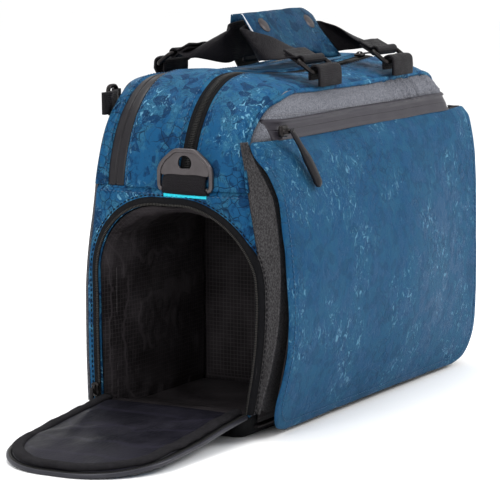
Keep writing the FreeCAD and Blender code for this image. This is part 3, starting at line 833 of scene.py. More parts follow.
def slab_pad(name, node, body, paint):
    """Foam pad in the place of its node: crowned faces, thin sewn edges."""
    low, high = corners(node)
    size = high - low
    thin = min(range(3), key=lambda axis: size[axis])
    a, b = [axis for axis in range(3) if axis != thin]

    def face(side):
        def at(u, v):
            p = Vector((0.0, 0.0, 0.0))
            p[a] = low[a] + size[a] * u
            p[b] = low[b] + size[b] * v
            edge = min(u * size[a], (1 - u) * size[a], v * size[b], (1 - v) * size[b])
            puff = 0.5 - 0.36 * math.exp(-(edge / 5.0) ** 2)
            p[thin] = low[thin] + size[thin] * (0.5 + side * puff)
            return p
        return at

    verts, faces = closed_pad(edged(26), edged(26), face(1), face(-1))
    pad = piece(name, verts, faces, paint)
    fitted(pad, "lining", body, node)
    return pad


for part in ("floor", "front_pad", "rear_pad", "divider_left", "divider_right"):
    slab_pad("insert_" + part + "_padding", "insert_" + part, "root", bay_paint)

sleeve_low, sleeve_high = corners("laptop_divider")
SLEEVE_BEND = 214.0


def sleeve_wall(offset):
    def at(u, v):
        z = sleeve_low.z + (sleeve_high.z - sleeve_low.z) * v
        x = (outline_half(z) - 9.0) * (2 * u - 1)
        lean = smooth((z - SLEEVE_BEND) / (sleeve_high.z - SLEEVE_BEND))
        edge = min(u, 1 - u, v, 1 - v) * 120.0
        return Vector((x, 61.5 - 27.0 * lean + offset * (0.3 + 1.1 * (1 - math.exp(-edge / 4))), z))
    return at


verts, faces = closed_pad(edged(50), edged(36), sleeve_wall(1), sleeve_wall(-1))
sleeve = piece("laptop_divider_padding", verts, faces, bay_paint)
fitted(sleeve, "lining", "root", "laptop_divider")

# Zip round the side opening ----------------------------------------------------------------------
# Black woven tape sewn to the arch, with a row of small moulded teeth along its free edge. Its
# slider waits at the rear foot, where the door is unzipped.

teeth_paint = Paint("nickel_teeth", Metallic=0.85, Roughness=0.35)
at = teeth_paint.place()
tone = teeth_paint.noise(at, 400.0, 2.0)
teeth_paint.drive("Base Color", teeth_paint.mix(tone, (0.035, 0.033, 0.03), (0.11, 0.105, 0.10)))


def tape_at(t, share):
    inset = -TAPE_W + TAPE_W * share
    y, z = arch_line(t, inset)
    p = end_surface(y, z, 0.2, 0.5)
    lift = 1.0 * math.sin(math.pi * min(max(share, 0.0), 1.0)) + 1.2 * smooth((share - 0.5) * 2)
    return p + Vector((-lift - 0.4, 0, 0))


verts, faces = grid(even(180), even(7), tape_at)
arch_tape = thick(piece("arch_zip_tape", verts, [f[::-1] for f in faces], tape_paint), 0.9)
fitted(arch_tape, "coil_zip", "root", "opening_zip")


def teeth(name, path, outward, paint, width=2.0, length=0.85, height=0.9, pitch=1.45):
    """Row of small moulded teeth standing on a tape's edge."""
    verts = []
    faces = []
    total = 0.0
    due = 0.0
    for a, b, up in zip(path, path[1:], outward):
        span = (b - a).length
        if span < 1e-6:
            continue
        along = (b - a) / span
        side = along.cross(up).normalized()
        while due <= total + span:
            center = a + along * (due - total)
            base = len(verts)
            for level, shrink in ((0.0, 1.0), (0.65, 0.95), (1.0, 0.6)):
                for i, j in ((-1, -1), (1, -1), (1, 1), (-1, 1)):
                    verts.append(center + side * (i * width / 2 * shrink) + along * (j * length / 2 * shrink)
                                 + up * height * level)
            for ring_index in (0, 4):
                for i in range(4):
                    j = (i + 1) % 4
                    k = base + ring_index
                    faces.append((k + i, k + j, k + 4 + j, k + 4 + i))
            faces.append((base + 8, base + 9, base + 10, base + 11))
            due += pitch
        total += span
    return piece(name, verts, faces, paint, smooth=False)


path = [tape_at(t, 0.86) for t in even(300)]
row = teeth("arch_zip_teeth", path, [Vector((-1, 0, 0))] * len(path), teeth_paint)
fitted(row, "coil_zip", "root")
path = [end_surface(*arch_line(t, -TAPE_W - 1.6), -0.3) for t in even(220)]
line = stitch_run("arch_stitches", path, [Vector((-1, 0, 0))] * len(path), tape_paint)
fitted(line, "coil_zip", "root")

# Camera door -------------------------------------------------------------------------------------
# Padded flap that drops open on the sill. Inside it is navy ripstop, creased over its foam and
# held by a thick gathered binding; zip teeth and a smooth rim run round its edge.

PIVOT = Vector((-203.0, 0.0, 20.0))
OPEN_ANGLE = math.radians(-95.5)
DOOR_MID_Y = (BAY_FRONT + BAY_REAR) / 2
turn_open = Matrix.Rotation(OPEN_ANGLE, 3, "Y")


def dropped(out, y, up):
    """Point of the open door from how it sits when shut: out of the end, across, and up."""
    p = turn_open @ Vector((-out, 0.0, up)) + PIVOT
    sag = 1.3 * ripple((up, y, 0.0), 70.0, 21.0) * smooth(up / 60.0)
    return Vector((p.x, y, p.z + sag))


def door_edge(up, inset):
    """Half width of the door at one height above its fold."""
    half = (BAY_REAR - BAY_FRONT) / 2 - inset
    top = BAY_TOP + 7.0 - 20.0 - inset
    r = ARCH_R + 2.0 - inset
    over = up - (top - r)
    if over <= 0.0:
        return half
    return half - r + math.sqrt(max(r * r - min(over, r) ** 2, 0.0))


def door_sheet(inset, out):
    top = BAY_TOP + 7.0 - 20.0 - inset

    def at(u, v):
        up = 2.0 + (top - 2.0) * v
        half = door_edge(up, inset)
        y = DOOR_MID_Y + half * (2 * u - 1)
        edge = min(half - abs(y - DOOR_MID_Y), top - up, up)
        return dropped(out(edge, y, up), y, up)
    return at


# where each crease of the lining starts, across and up, its slant and its length
CREASES = ((-62.0, 20.0, 0.55, 130.0), (46.0, 30.0, -0.25, 120.0), (-5.0, 70.0, 0.9, 90.0))


def quilted(edge, y, up):
    """Inner face of the door: foam crown, creases pulled from the corners of the fold."""
    crest = 2.2 * (1.0 - math.exp(-(max(edge, 0.0) / 9.0) ** 2))
    crease = 0.0
    for y0, up0, bend, reach in CREASES:
        along = (up - up0) * math.cos(bend) + (y - y0) * math.sin(bend)
        off = (y - y0) * math.cos(bend) - (up - up0) * math.sin(bend)
        off += 5.0 * ripple((up, y, 1.0), 40.0, 24.0)
        crease += 1.5 * math.exp(-(off / 5.5) ** 2) * smooth(along / 25.0) * smooth((reach - along) / 40.0)
    wave = 0.9 * ripple((up, y, 3.0), 26.0, 22.0)
    return -1.6 - (crest + crease + wave * smooth(edge / 12.0))


verts, faces = closed_pad(even(46), even(54), door_sheet(4.0, lambda e, y, up: 2.6),
                          door_sheet(4.0, lambda e, y, up: quilted(e, y, up)))
door_pad = piece("door_padding", verts, faces, door_paint)


def puff(obj, cap, pressure=4.0, spare=0.02):
    """Fills a closed fabric shell for 20 frames and keeps how it swells and creases, up to cap."""
    scene = bpy.context.scene
    rest = [v.co.copy() for v in obj.data.vertices]
    cloth = obj.modifiers.new("Filling", "CLOTH")
    cloth.settings.quality = 4
    cloth.settings.use_pressure = True
    cloth.settings.uniform_pressure_force = pressure
    cloth.settings.shrink_min = -spare
    cloth.settings.bending_stiffness = 0.3
    cloth.settings.effector_weights.gravity = 0.0
    cloth.point_cache.frame_start = 1
    cloth.point_cache.frame_end = 20
    for frame_number in range(1, 21):
        scene.frame_set(frame_number)
    filled = obj.evaluated_get(bpy.context.evaluated_depsgraph_get())
    moved = [v.co.copy() for v in filled.data.vertices]
    obj.modifiers.remove(cloth)
    scene.frame_set(1)
    for vertex, start, end in zip(obj.data.vertices, rest, moved):
        step = end - start
        if step.length > cap * MM:
            step *= cap * MM / step.length
        vertex.co = start + step
    return obj


def subdivided(obj, levels=1):
    extra = obj.modifiers.new("Round", "SUBSURF")
    extra.levels = levels
    extra.render_levels = levels
    return obj


puff(door_pad, 2.0, 3.0, 0.03)
subdivided(door_pad)
fitted(door_pad, "lining", "door", "door_panel", "door_lining")


def door_outline(inset, out, samples=220):
    """Path round the free edge of the door, from the rear foot over the tip to the front foot."""
    half = (BAY_REAR - BAY_FRONT) / 2 - inset
    top = BAY_TOP + 7.0 - 20.0 - inset
    r = ARCH_R + 2.0 - inset
    leg = top - r
    arc = r * math.pi / 2
    flat = 2 * (half - r)
    total = 2 * (leg + arc) + flat
    points = []
    for d in even(samples, 0.0, total):
        side = 1.0
        if d > total / 2:
            d = total - d
            side = -1.0
        if d < leg:
            y, up = half, d
        elif d < leg + arc:
            a = (d - leg) / r
            y, up = half - r + r * math.cos(a), leg + r * math.sin(a)
        else:
            y, up = half - r - (d - leg - arc), top
        points.append((DOOR_MID_Y + side * y, up, side))
    return [dropped(out(y, up), y, up) for y, up, side in points]


def frames_along(path):
    """Unit directions along a path."""
    ways = []
    for i in range(len(path)):
        a = path[max(i - 1, 0)]
        b = path[min(i + 1, len(path) - 1)]
        ways.append((b - a).normalized())
    return ways


def swept(name, path, ups, profile, paint, closed=False, caps=True):
    """Sweeps a closed profile of (side, up) along a path; profile may be a function of the index."""
    verts = []
    ways = frames_along(path)
    if closed:
        n = len(path)
        ways = [(path[(i + 1) % n] - path[i - 1]).normalized() for i in range(n)]
    for i, (p, way, up) in enumerate(zip(path, ways, ups)):
        side = way.cross(up).normalized()
        up = side.cross(way).normalized()
        shape = profile(i) if callable(profile) else profile
        verts.extend(p + side * a + up * b for a, b in shape)
    m = len(verts) // len(path)
    faces = []
    rows = len(path)
    for i in range(rows if closed else rows - 1):
        j = (i + 1) % rows
        for k in range(m):
            q = (k + 1) % m
            faces.append((i * m + k, i * m + q, j * m + q, j * m + k))
    if caps and not closed:
        faces.append(tuple(range(m))[::-1])
        faces.append(tuple((rows - 1) * m + k for k in range(m)))
    return piece(name, verts, faces, paint)


def oval(wide, high, count=14, flat=2.6):
    """Rounded rectangle profile, as a superellipse."""
    shape = []
    for i in range(count):
        a = 2 * math.pi * i / count
        c, s = math.cos(a), math.sin(a)
        side = math.copysign(abs(c) ** (2 / flat), c)
        up = math.copysign(abs(s) ** (2 / flat), s)
        shape.append((wide * side, high * up))
    return shape


binding_paint = Paint("black_binding", Roughness=0.8, Specular_IOR_Level=0.15)
at = binding_paint.place()
tone = binding_paint.noise(at, 200.0, 3.0)
binding_paint.drive("Base Color", binding_paint.mix(tone, (0.006, 0.006, 0.007), (0.024, 0.022, 0.026)))
binding_paint.drive("Normal", binding_paint.bump(binding_paint.threads(at, 0.0009), 0.5, 0.0004))
rim_paint = Paint("smooth_grey_rim", Roughness=0.38, Specular_IOR_Level=0.3)
tone = rim_paint.noise(rim_paint.place(), 90.0, 3.0)
rim_paint.drive("Base Color", rim_paint.mix(tone, (0.018, 0.018, 0.024), (0.04, 0.04, 0.05)))

INWARD = turn_open @ Vector((1.0, 0.0, 0.0))
path = door_outline(7.5, lambda y, up: -4.2 - 0.9 * ripple((up, y, 0), 22.0, 31.0))
path = [p + Vector((0, 1.4 * ripple(p, 17.0, 33.0), 0)) for p in path]


def gathered(i):
    """Section of the binding, which swells and thins along its gathers."""
    along = i * 3.0
    return oval(5.0 + 0.9 * ripple((along, 0, 0), 20.0, 34.0), 2.7 + 0.5 * ripple((along, 9, 0), 14.0, 35.0))


binding = swept("door_edge_binding", path, [INWARD] * len(path), gathered, binding_paint)
fitted(binding, "binding", "door", "door_binding")
path = door_outline(2.6, lambda y, up: -0.6)
door_tape = swept("door_zip_tape", path, [INWARD] * len(path), oval(3.2, 1.3, 10), tape_paint)
fitted(door_tape, "coil_zip", "door", "door_zip_half")
path = door_outline(0.4, lambda y, up: -1.2, 320)
door_teeth = teeth("door_zip_teeth", path, [INWARD] * len(path), coil_paint, 2.2, 0.9, 1.0)
fitted(door_teeth, "coil_zip", "door")
path = door_outline(-0.6, lambda y, up: 0.4)
rim = swept("door_outer_rim", path, [INWARD] * len(path), oval(1.9, 2.0, 12, 2.2), rim_paint)
fitted(rim, "binding", "door")


def outer_crown(edge, y, up):
    return 2.7 + 1.2 * (1 - math.exp(-(edge / 10.0) ** 2))


verts, faces = grid(even(40), even(48), door_sheet(0.4, outer_crown))
door_back = thick(piece("door_outer_fabric", verts, [f[::-1] for f in faces], body_paint), 0.7)
fitted(door_back, "blue_fabric", "door")


FOLD_ROWS = [(-194.0, 14.6), (-200.0, 19.2), (-203.5, 21.6), (-208.0, 22.0), (-213.0, 21.4), (-219.0, 20.9)]


def fold_at(u, v):
    """Soft strip that carries the door on the sill."""
    y = DOOR_MID_Y + (2 * u - 1) * 67.0
    x, z = FOLD_ROWS[v]
    return Vector((x + 0.6 * ripple((y, x, 0), 18.0, 41.0), y, z + 0.7 * ripple((y, x, 4), 15.0, 42.0)))


verts, faces = grid(even(60), range(len(FOLD_ROWS)), fold_at)
fold = thick(piece("door_fold", verts, faces, door_paint), 1.0)
subdivided(fold)
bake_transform(fold)

# Front wall and pocket ---------------------------------------------------------------------------
# Heather grey fabric. It rounds over from the blue seam into the band above the pocket's zip, where
# it is gathered, and down the sides as the pocket's gussets.

BAND_Y = corners("pocket_top_band")[0].y


def cover_half(z):
    return outline_half(z) - 2.8 - 2.0 * smooth((246.0 - z) / 10.0)


def front_cover(share, v):
    z = BASE_Z - 1.0 + (TOP_Z - BASE_Z) * v
    half = cover_half(z)
    x = half * (2 * share - 1)
    edge = min(half - abs(x), (TOP_Z - 1.0 - z) * 1.1)
    reach = (front_edge(z) - BAND_Y) * smooth((z - 236.0) / 9.0)
    shoulder = reach * (1.0 - math.exp(-(max(edge, 0.0) / 10.0) ** 1.6))
    wave = 0.0
    if z > 255.0:
        gather = 0.12 + 0.88 * smooth((x + 10.0) / 90.0)
        comb = ripple((x + 0.25 * z, z * 0.10, 0), 13.0, 51.0)
        comb += 0.7 * ripple((x + 0.2 * z, z * 0.12, 3), 5.0, 52.0)
        wave = 3.6 * gather * comb * smooth((z - 260.0) / 8.0) * smooth((290.0 - z) / 8.0)
    rise = smooth((z - SEAM_Z) / (TOP_Z - SEAM_Z))
    y = front_edge(z) + 1.0 - max(shoulder, 0.0) - wave
    return Vector((x + slump(x, z), y, z + crown(x, front_edge(z)) * rise))


verts, faces = grid(edged(420), edged(90), front_cover)
cover = thick(piece("front_grey_cover", verts, faces, grey_paint), 2.0)
fitted(cover, "grey_fabric", "root", "front_wall", "pocket_top_band")


path = [skin(t, "front", "main_front", 0.0, 1.6, 0.5) + Vector((0, -0.9, 0)) for t in even(260, 0.0, 1.0)]
frames = [Vector((0, -1, 0))] * len(path)
seam_fold = swept("front_seam_fold", path, frames, oval(1.9, 1.5, 12, 2.0), body_paint)
fitted(seam_fold, "blue_fabric", "root")


def bow(*points):
    """y as a smooth function of z through three (y, z) points."""
    def at(z):
        total = 0.0
        for i, (y, zi) in enumerate(points):
            share = 1.0
            for j, (_, zj) in enumerate(points):
                if i != j:
                    share *= (z - zj) / (zi - zj)
            total += y * share
        return total
    return at


def corner_back(x, z):
    """How far the pocket's and the flap's upper corners turn back, from 0 to 1."""
    turned = smooth((abs(x) - 152.0) / 48.0) * smooth((z - 196.0) / 50.0)
    return turned if x < 0.0 else 0.3 * turned


def slack(x, z):
    """How much flatter the empty right half of the pocket lies than the left one."""
    return 17.0 * smooth((x - 10.0) / 185.0) * max(math.sin(math.pi * (z - 8.0) / 244.0), 0.0)


pocket_bow = bow((-92.0, 247.0), (-111.0, 150.0), (-90.0, 22.0))
POCKET_HALF = 198.0
# A darker copy of the heather grey for the pocket's gussets, front and bottom: painted shade, as these sit
# in shadow on the ends and under the flap.
shaded_grey_paint = heather("heather_grey_painted_shade", (0.080, 0.077, 0.080), (0.022, 0.021, 0.022))


def side_gusset(z, share, side):
    y0 = front_edge(z) - 0.5
    edge_x = side * POCKET_HALF
    y1 = min(pocket_bow(z) + 1.0 + 12.0 * corner_back(edge_x, z) + slack(edge_x, z), y0)
    x = HALF - 2.2 - 1.6 * share - 1.8 * math.sin(math.pi * share)
    x += 0.9 * ripple((0, y0 * share, z), 26.0, 54.0)
    return Vector((side * x, y0 + (y1 - y0) * share, z))


for side, name in ((-1, "left"), (1, "right")):
    verts, faces = grid(even(90, 22.0, 247.0), even(12), lambda z, s: side_gusset(z, s, side))
    if side < 0:
        faces = [f[::-1] for f in faces]
    wall = thick(piece("pocket_gusset_" + name, verts, faces, shaded_grey_paint), 1.6)
    if side < 0:
        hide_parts("pocket_gusset")
    fitted(wall, "grey_fabric", "root")


def panel_half(z, half, low, high, low_r, high_r):
    """Half width of an upright panel with rounded corners at height z."""
    cut = 0.0
    if z < low + low_r:
        cut = low_r - math.sqrt(max(low_r ** 2 - (low + low_r - z) ** 2, 0.0))
    elif z > high - high_r:
        cut = high_r - math.sqrt(max(high_r ** 2 - (z - high + high_r) ** 2, 0.0))
    return half - cut


def pocket_front_at(u, v):
    z = 22.0 + 225.0 * v
    half = panel_half(z, POCKET_HALF, 22.0, 247.0, 14.0, 16.0)
    x = half * (2 * u - 1)
    back = 12.0 * corner_back(x, z) + slack(x, z)
    return Vector((x, pocket_bow(z) + back + 0.8 * ripple((x, 0, z), 55.0, 55.0) * math.sin(math.pi * v), z))


verts, faces = grid(edged(90), edged(60), pocket_front_at)
pocket_front = thick(piece("pocket_front_cloth", verts, faces, shaded_grey_paint), 2.2)
fitted(pocket_front, "grey_fabric", "root", "pocket_front")
verts, faces = grid(even(90, -POCKET_HALF + 14, POCKET_HALF - 14), even(8),
                    lambda x, s: Vector((x, -82.0 - 7.0 * s, 22.0 + 1.0 * math.sin(math.pi * s))))
under = thick(piece("pocket_bottom", verts, faces, shaded_grey_paint), 1.6)
fitted(under, "grey_fabric", "root")

# Coated zip of the front pocket ------------------------------------------------------------------
# Reverse coil zip under a smooth grey coating, let into the grey fabric between two topstitched
# folds; it ends in small garages at both corners.

strip_paint = Paint("coated_pocket_zip", Roughness=0.42, Specular_IOR_Level=0.3)
at = strip_paint.place()
wear = strip_paint.noise(strip_paint.stretch(at, 0.2, 1.0, 1.0), 120.0, 4.0)
strip_paint.drive("Base Color", strip_paint.mix(wear, (0.017, 0.015, 0.021), (0.045, 0.041, 0.052)))
strip_paint.drive("Roughness", strip_paint.range(wear, 0.3, 0.7) * 0.15 + 0.35)
strip_paint.drive("Normal", strip_paint.bump(strip_paint.noise(at, 800.0, 2.0), 0.2, 0.0002))
STRIP_ROWS = [(263.5, -93.2), (262.4, -94.6), (261.2, -94.9), (260.2, -93.4), (257.5, -93.6), (255.4, -94.0),
              (254.9, -94.1), (254.6, -93.2), (254.3, -94.2), (253.8, -94.3), (251.0, -94.4), (249.0, -94.6),
              (248.0, -95.9), (246.8, -95.8), (245.6, -94.6)]


def strip_at(x, k):
    z, y = STRIP_ROWS[k]
    half = cover_half(z)
    under = front_cover((x / half + 1) / 2, (z - BASE_Z + 1.0) / (TOP_Z - BASE_Z))
    ends = smooth((x + 172.0) / 3.0) * smooth((170.0 - x) / 3.0)
    return Vector((under.x, under.y + (y - BAND_Y - 0.4) * ends + 0.3 * ripple((x, 0, k), 22.0, 57.0),
                   z + 0.5 * ripple((x, 0, 0), 60.0, 58.0)))


verts, faces = grid(even(170, -172.0, 170.0), range(len(STRIP_ROWS)), strip_at)
strip = thick(piece("pocket_zip_lips", verts, [f[::-1] for f in faces], strip_paint), 1.0)
fitted(strip, "coated_zip", "root", "pocket_zip")
# A dark strip of zip tape along the lips' lower edge stands in for the shadow where the flap's top tucks in
# under the zip: painted shadow.
path = [strip_at(x, len(STRIP_ROWS) - 1) + Vector((0, 0.4, -1.6)) for x in even(80, -170.0, 168.0)]
gap_shadow = swept("pocket_gap_shadow_strip", path, [Vector((0, -1, 0))] * len(path), oval(2.2, 1.2, 10), tape_paint)
fitted(gap_shadow, "coil_zip", "root")
grey_thread = Paint("grey_thread", Roughness=0.7)
tone = grey_thread.noise(grey_thread.place(), 800.0, 1.0)
grey_thread.drive("Base Color", grey_thread.mix(tone, (0.10, 0.10, 0.11), (0.3, 0.3, 0.33)))
LINE_Z = 266.0
share_z = (LINE_Z - BASE_Z + 1) / (TOP_Z - BASE_Z)
path = [front_cover((x / cover_half(LINE_Z) + 1) / 2, share_z) - Vector((0, 0.4, 0))
        for x in even(160, -170.0, 170.0)]
line = stitch_run("pocket_zip_stitches", path, [Vector((0, -1, 0))] * len(path), grey_thread, 3.4, 2.4, 0.3)
fitted(line, "grey_fabric", "root")

# Touch fasteners ---------------------------------------------------------------------------------
# Black loop pads sewn on the pocket and hook pads inside the flap.

fuzz_paint = Paint("loop_pile", Roughness=0.95)
at = fuzz_paint.place()
pile = fuzz_paint.noise(at, 1400.0, 2.0)
fuzz_paint.drive("Base Color", fuzz_paint.mix(pile, (0.006, 0.006, 0.006), (0.05, 0.05, 0.052)))
fuzz_paint.drive("Normal", fuzz_paint.bump(pile, 0.8, 0.0012))
flap_bow = bow((-98.0, 245.0), (-120.0, 150.0), (-96.0, 4.0))


def touch_pads(name, node, body, surface, front, rear):
    """Left and right pads of a touch fastener, from depth front to depth rear off the surface."""
    low, high = corners(node)
    for side, label in ((-1, "left"), (1, "right")):
        def face(depth):
            def at(u, v):
                z = low.z + (high.z - low.z) * v
                edge = min(u, 1 - u, v, 1 - v) * 30.0
                x = side * (78.0 + 64.0 * u)
                soft = 0.35 * math.exp(-(edge / 1.2) ** 2)
                y = surface(z) + slack(x, z) + depth + (soft if depth == front else -soft)
                return Vector((x, y, z))
            return at
        faces_at = closed_pad(edged(24), edged(16), face(front), face(rear))
        pad = piece(name + "_" + label, *faces_at, fuzz_paint)
        if side < 0:
            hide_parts(node)
        fitted(pad, "touch_pad", body)


touch_pads("loop_pad", "pocket_loop_pads", "root", pocket_bow, -1.1, 0.1)
touch_pads("hook_pad", "flap_hook_pads", "flap", flap_bow, 4.0, 5.1)

# Front flap --------------------------------------------------------------------------------------
# One padded sheet of the blue fabric over a thin black lining, sewn in under the pocket zip. It is
# topstitched 8 mm inside its edge and puckers where it bends over at the top.

X_WAY = Vector((1, 0, 0))
Y_WAY = Vector((0, 1, 0))
Z_WAY = Vector((0, 0, 1))
FLAP_HALF = corners("flap_shell")[1].x + 4.0
FLAP_LOW = corners("flap_shell")[0].z
FLAP_SEAM_Z = 247.0
FLAP_CORNER_R = 38.0
STITCH_IN = 8.0
STITCH_TOP_Z = 232.0


def flap_edge(x, z):
    """Distance from the free edge of the flap."""
    half = panel_half(z, FLAP_HALF, FLAP_LOW, 262.0, FLAP_CORNER_R, 24.0)
    return min(half - abs(x), z - FLAP_LOW)


def flap_face(offset):
    def at(u, v):
        z = FLAP_LOW + (FLAP_SEAM_Z - FLAP_LOW) * v
        half = panel_half(z, FLAP_HALF, FLAP_LOW, 254.0, FLAP_CORNER_R, 24.0)
        x = half * (2 * u - 1)
        edge = flap_edge(x, z)
        pad = 1.0 - math.exp(-(max(edge, 0.0) / 3.5) ** 2)
        pad -= 0.42 * math.exp(-((edge - STITCH_IN) / 1.8) ** 2)
        if z > FLAP_SEAM_Z - 6.0:
            pad *= 0.5
        puff_mm = (0.6 + 1.9 * pad) * (1 if offset < 0 else 0.25)
        p = Vector((x, 0.0, z))
        wave = 1.5 * ripple(p, 85.0, 61.0) + 0.5 * ripple(p, 30.0, 62.0)
        top = smooth((z - 205.0) / 35.0)
        wave += top * 1.5 * ripple((x * 0.28, 0, z * 1.5), 13.0, 63.0)
        wave *= 0.35 + 0.65 * smooth(edge / 18.0)
        left = smooth((-x - 140.0) / 58.0)
        lift = 2.2 * left * math.sin(math.pi * 2.3 * (z - FLAP_LOW) / 243.0)
        tuck = 3.5 * smooth((z - 238.0) / 9.0) + 10.0 * corner_back(x, z) + slack(x, z)
        tuck += 7.0 * smooth((-x - 186.0) / 15.0) * smooth((z - 220.0) / 20.0)
        y = flap_bow(z) + 1.6 + offset * puff_mm - wave * 0.7 - lift + tuck
        return Vector((x + left * 1.2 * ripple(p, 24.0, 64.0), y, z))
    return at


verts, faces = closed_pad(even(100), even(64), flap_face(-1), flap_face(1))
flap = piece("flap_padding", verts, faces, flap_paint)
puff(flap, 1.6, 2.5, 0.012)
subdivided(flap)
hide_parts("flap_shell")
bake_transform(flap)


def flap_outline(inset, samples):
    """Path inside the flap's free edge, down one side, along the foot and up the other."""
    points = []
    low = FLAP_LOW + inset
    half = FLAP_HALF - inset
    r = FLAP_CORNER_R - inset
    leg = STITCH_TOP_Z - low - r
    arc = r * math.pi / 2
    flat = 2 * (half - r)
    total = 2 * (leg + arc) + flat
    for d in even(samples, 0.0, total):
        side = -1.0
        if d > total / 2:
            d = total - d
            side = 1.0
        if d < leg:
            x, z = half, STITCH_TOP_Z - d
        elif d < leg + arc:
            a = (d - leg) / r
            x, z = half - r + r * math.cos(a), low + r - r * math.sin(a)
        else:
            x, z = half - r - (d - leg - arc), low
        points.append((side * x, z))
    return points


def on_surface(obj, points, direction, stand=0.0):
    """Drops points onto an object's finished surface along a direction."""
    bpy.context.view_layer.update()
    shape = obj.evaluated_get(bpy.context.evaluated_depsgraph_get())
    found = []
    for p in points:
        start = (p - direction * 60.0) * MM
        hit, where, _, _ = shape.ray_cast(start, direction)
        spot = Vector(where) / MM if hit else p
        found.append(spot - direction * stand)
    return found


points = [Vector((x, flap_bow(z), z)) for x, z in flap_outline(STITCH_IN, 420)]
path = on_surface(flap, points, Y_WAY, 0.1)
line = stitch_run("flap_stitches", path, [-Y_WAY] * len(path), blue_thread, 4.2, 3.1, 0.4)
fitted(line, "blue_fabric", "flap")


def flap_lining_at(u, v):
    z = FLAP_LOW + 9.0 + (218.0 - FLAP_LOW) * v
    half = panel_half(z, FLAP_HALF - 9.0, FLAP_LOW + 9.0, 240.0, 33.0, 20.0)
    x = half * (2 * u - 1)
    y = flap_bow(z) + 3.4 + 10.0 * corner_back(x, z) + slack(x, z) + 0.5 * ripple((x, 0, z), 40.0, 66.0)
    return Vector((x, y, z))


verts, faces = grid(edged(70), edged(50), flap_lining_at)
flap_lining = thick(piece("flap_lining_cloth", verts, [f[::-1] for f in faces], bay_paint), 0.8)
fitted(flap_lining, "lining", "flap", "flap_lining")

# Zip sliders and pulls ---------------------------------------------------------------------------
# Cast sliders in dark gunmetal, each with a bridge. The pocket's pull is a long knotted cord in
# rubber tube; the top and door zips have short moulded ones.

metal_paint = Paint("gunmetal", Metallic=0.9, Roughness=0.36)
at = metal_paint.place()
tone = metal_paint.noise(at, 160.0, 3.0)
metal_paint.drive("Base Color", metal_paint.mix(tone, (0.016, 0.014, 0.014), (0.042, 0.038, 0.038)))
metal_paint.drive("Roughness", metal_paint.range(tone, 0.3, 0.7) * 0.18 + 0.28)
rubber_paint = Paint("black_rubber_pull", Roughness=0.4, Specular_IOR_Level=0.25)
at = rubber_paint.place()
tone = rubber_paint.noise(at, 220.0, 3.0)
rubber_paint.drive("Base Color", rubber_paint.mix(tone, (0.004, 0.004, 0.005), (0.016, 0.014, 0.017)))
rubber_paint.drive("Normal", rubber_paint.bump(rubber_paint.noise(at, 700.0, 3.0), 0.35, 0.0005))


def tube_faces(rings, m, base=0):
    """Quads that join successive closed rings of m points each."""
    quads = []
    for i in range(rings - 1):
        row = base + i * m
        for k in range(m):
            q = (k + 1) % m
            quads.append((row + k, row + q, row + m + q, row + m + k))
    return quads


def slider(name, node, body, along, up):
    """Zip slider in its node's place: a waisted body, with a bridge over it for the pull."""
    low, high = corners(node)
    center = (low + high) / 2
    side = along.cross(up)
    size = [abs((high - low).dot(axis)) for axis in (along, side, up)]
    floor_up = center - up * size[2] / 2
    verts = []
    rows, around = 13, 14
    for i in range(rows):
        share = i / (rows - 1)
        waist = 0.78 + 0.22 * abs(2 * share - 1) ** 1.5
        end = (1 - abs(2 * share - 1) ** 6) ** 0.5
        end = max(end, 0.35)
        for a, b in oval(size[1] * 0.5 * waist * end, size[2] * 0.27 * end, around, 3.2):
            verts.append(floor_up + along * size[0] * (share - 0.5) + side * a + up * (size[2] * 0.27 + b))
    faces = tube_faces(rows, around)
    faces.append(tuple(range(around))[::-1])
    faces.append(tuple((rows - 1) * around + k for k in range(around)))
    base = len(verts)
    steps, wire = 9, 8
    for i in range(steps):
        turn = math.pi * i / (steps - 1)
        spine = floor_up + along * size[0] * 0.34 * math.cos(turn)
        spine += up * (size[2] * 0.5 + size[2] * 0.42 * math.sin(turn))
        out = (along * math.cos(turn) * 0.8 + up * math.sin(turn)).normalized()
        for a, b in oval(size[1] * 0.16, size[2] * 0.07, wire, 3.0):
            verts.append(spine + side * a + out * b)
    faces += tube_faces(steps, wire, base)
    made = piece(name, verts, faces, metal_paint)
    fitted(made, "slider_metal", body, node)


def pull(name, node, body, start, tip, up, wide, high, sag=0.0, paint=rubber_paint):
    """Tapered pull from its eye to its tip, swelling towards the end."""
    path = []
    for share in even(26):
        path.append(start.lerp(tip, share) + up * sag * math.sin(math.pi * share))

    def section(i):
        share = i / 25.0
        swell = 0.62 + 0.38 * smooth((share - 0.25) / 0.3)
        if share < 0.12:
            swell = 0.5 + 0.12 * share / 0.12
        tip_in = math.sqrt(max(1.0 - max((share - 0.9) / 0.1, 0.0) ** 2, 0.02))
        return oval(wide * swell * tip_in, high * swell * tip_in, 16, 2.4)

    made = swept(name, path, [up] * 26, section, paint)
    fitted(made, "pull_rubber", body, node)


slider("pocket_zip_slider_cast", "pocket_slider", "pocket_zip_slider", X_WAY, -Y_WAY)
slider("main_zip_slider_cast", "main_slider", "main_zip_slider", X_WAY, Z_WAY)
slider("rear_zip_slider_cast", "rear_slider", "rear_zip_slider", X_WAY, Z_WAY)
slider("door_zip_slider_cast", "door_slider", "door_zip_slider", Z_WAY, -X_WAY)
pull("pocket_cord_pull", "pocket_pull", "pocket_zip_pull", Vector((-168.2, -105.2, 256.0)),
     Vector((-141.5, -117.6, 207.0)), Vector((0.15, -0.96, 0.24)).normalized(), 4.9, 3.2, 1.0)
for node, body in (("main_pull", "main_zip_pull"), ("rear_pull", "rear_zip_pull")):
    low, high = corners(node)
    mid = (low + high) / 2
    start = Vector((low.x + 0.5, mid.y, mid.z))
    pull(node + "_cord", node, body, start, Vector((high.x - 0.5, mid.y, mid.z)), Z_WAY, 3.0, 1.3)
low, high = corners("door_pull")
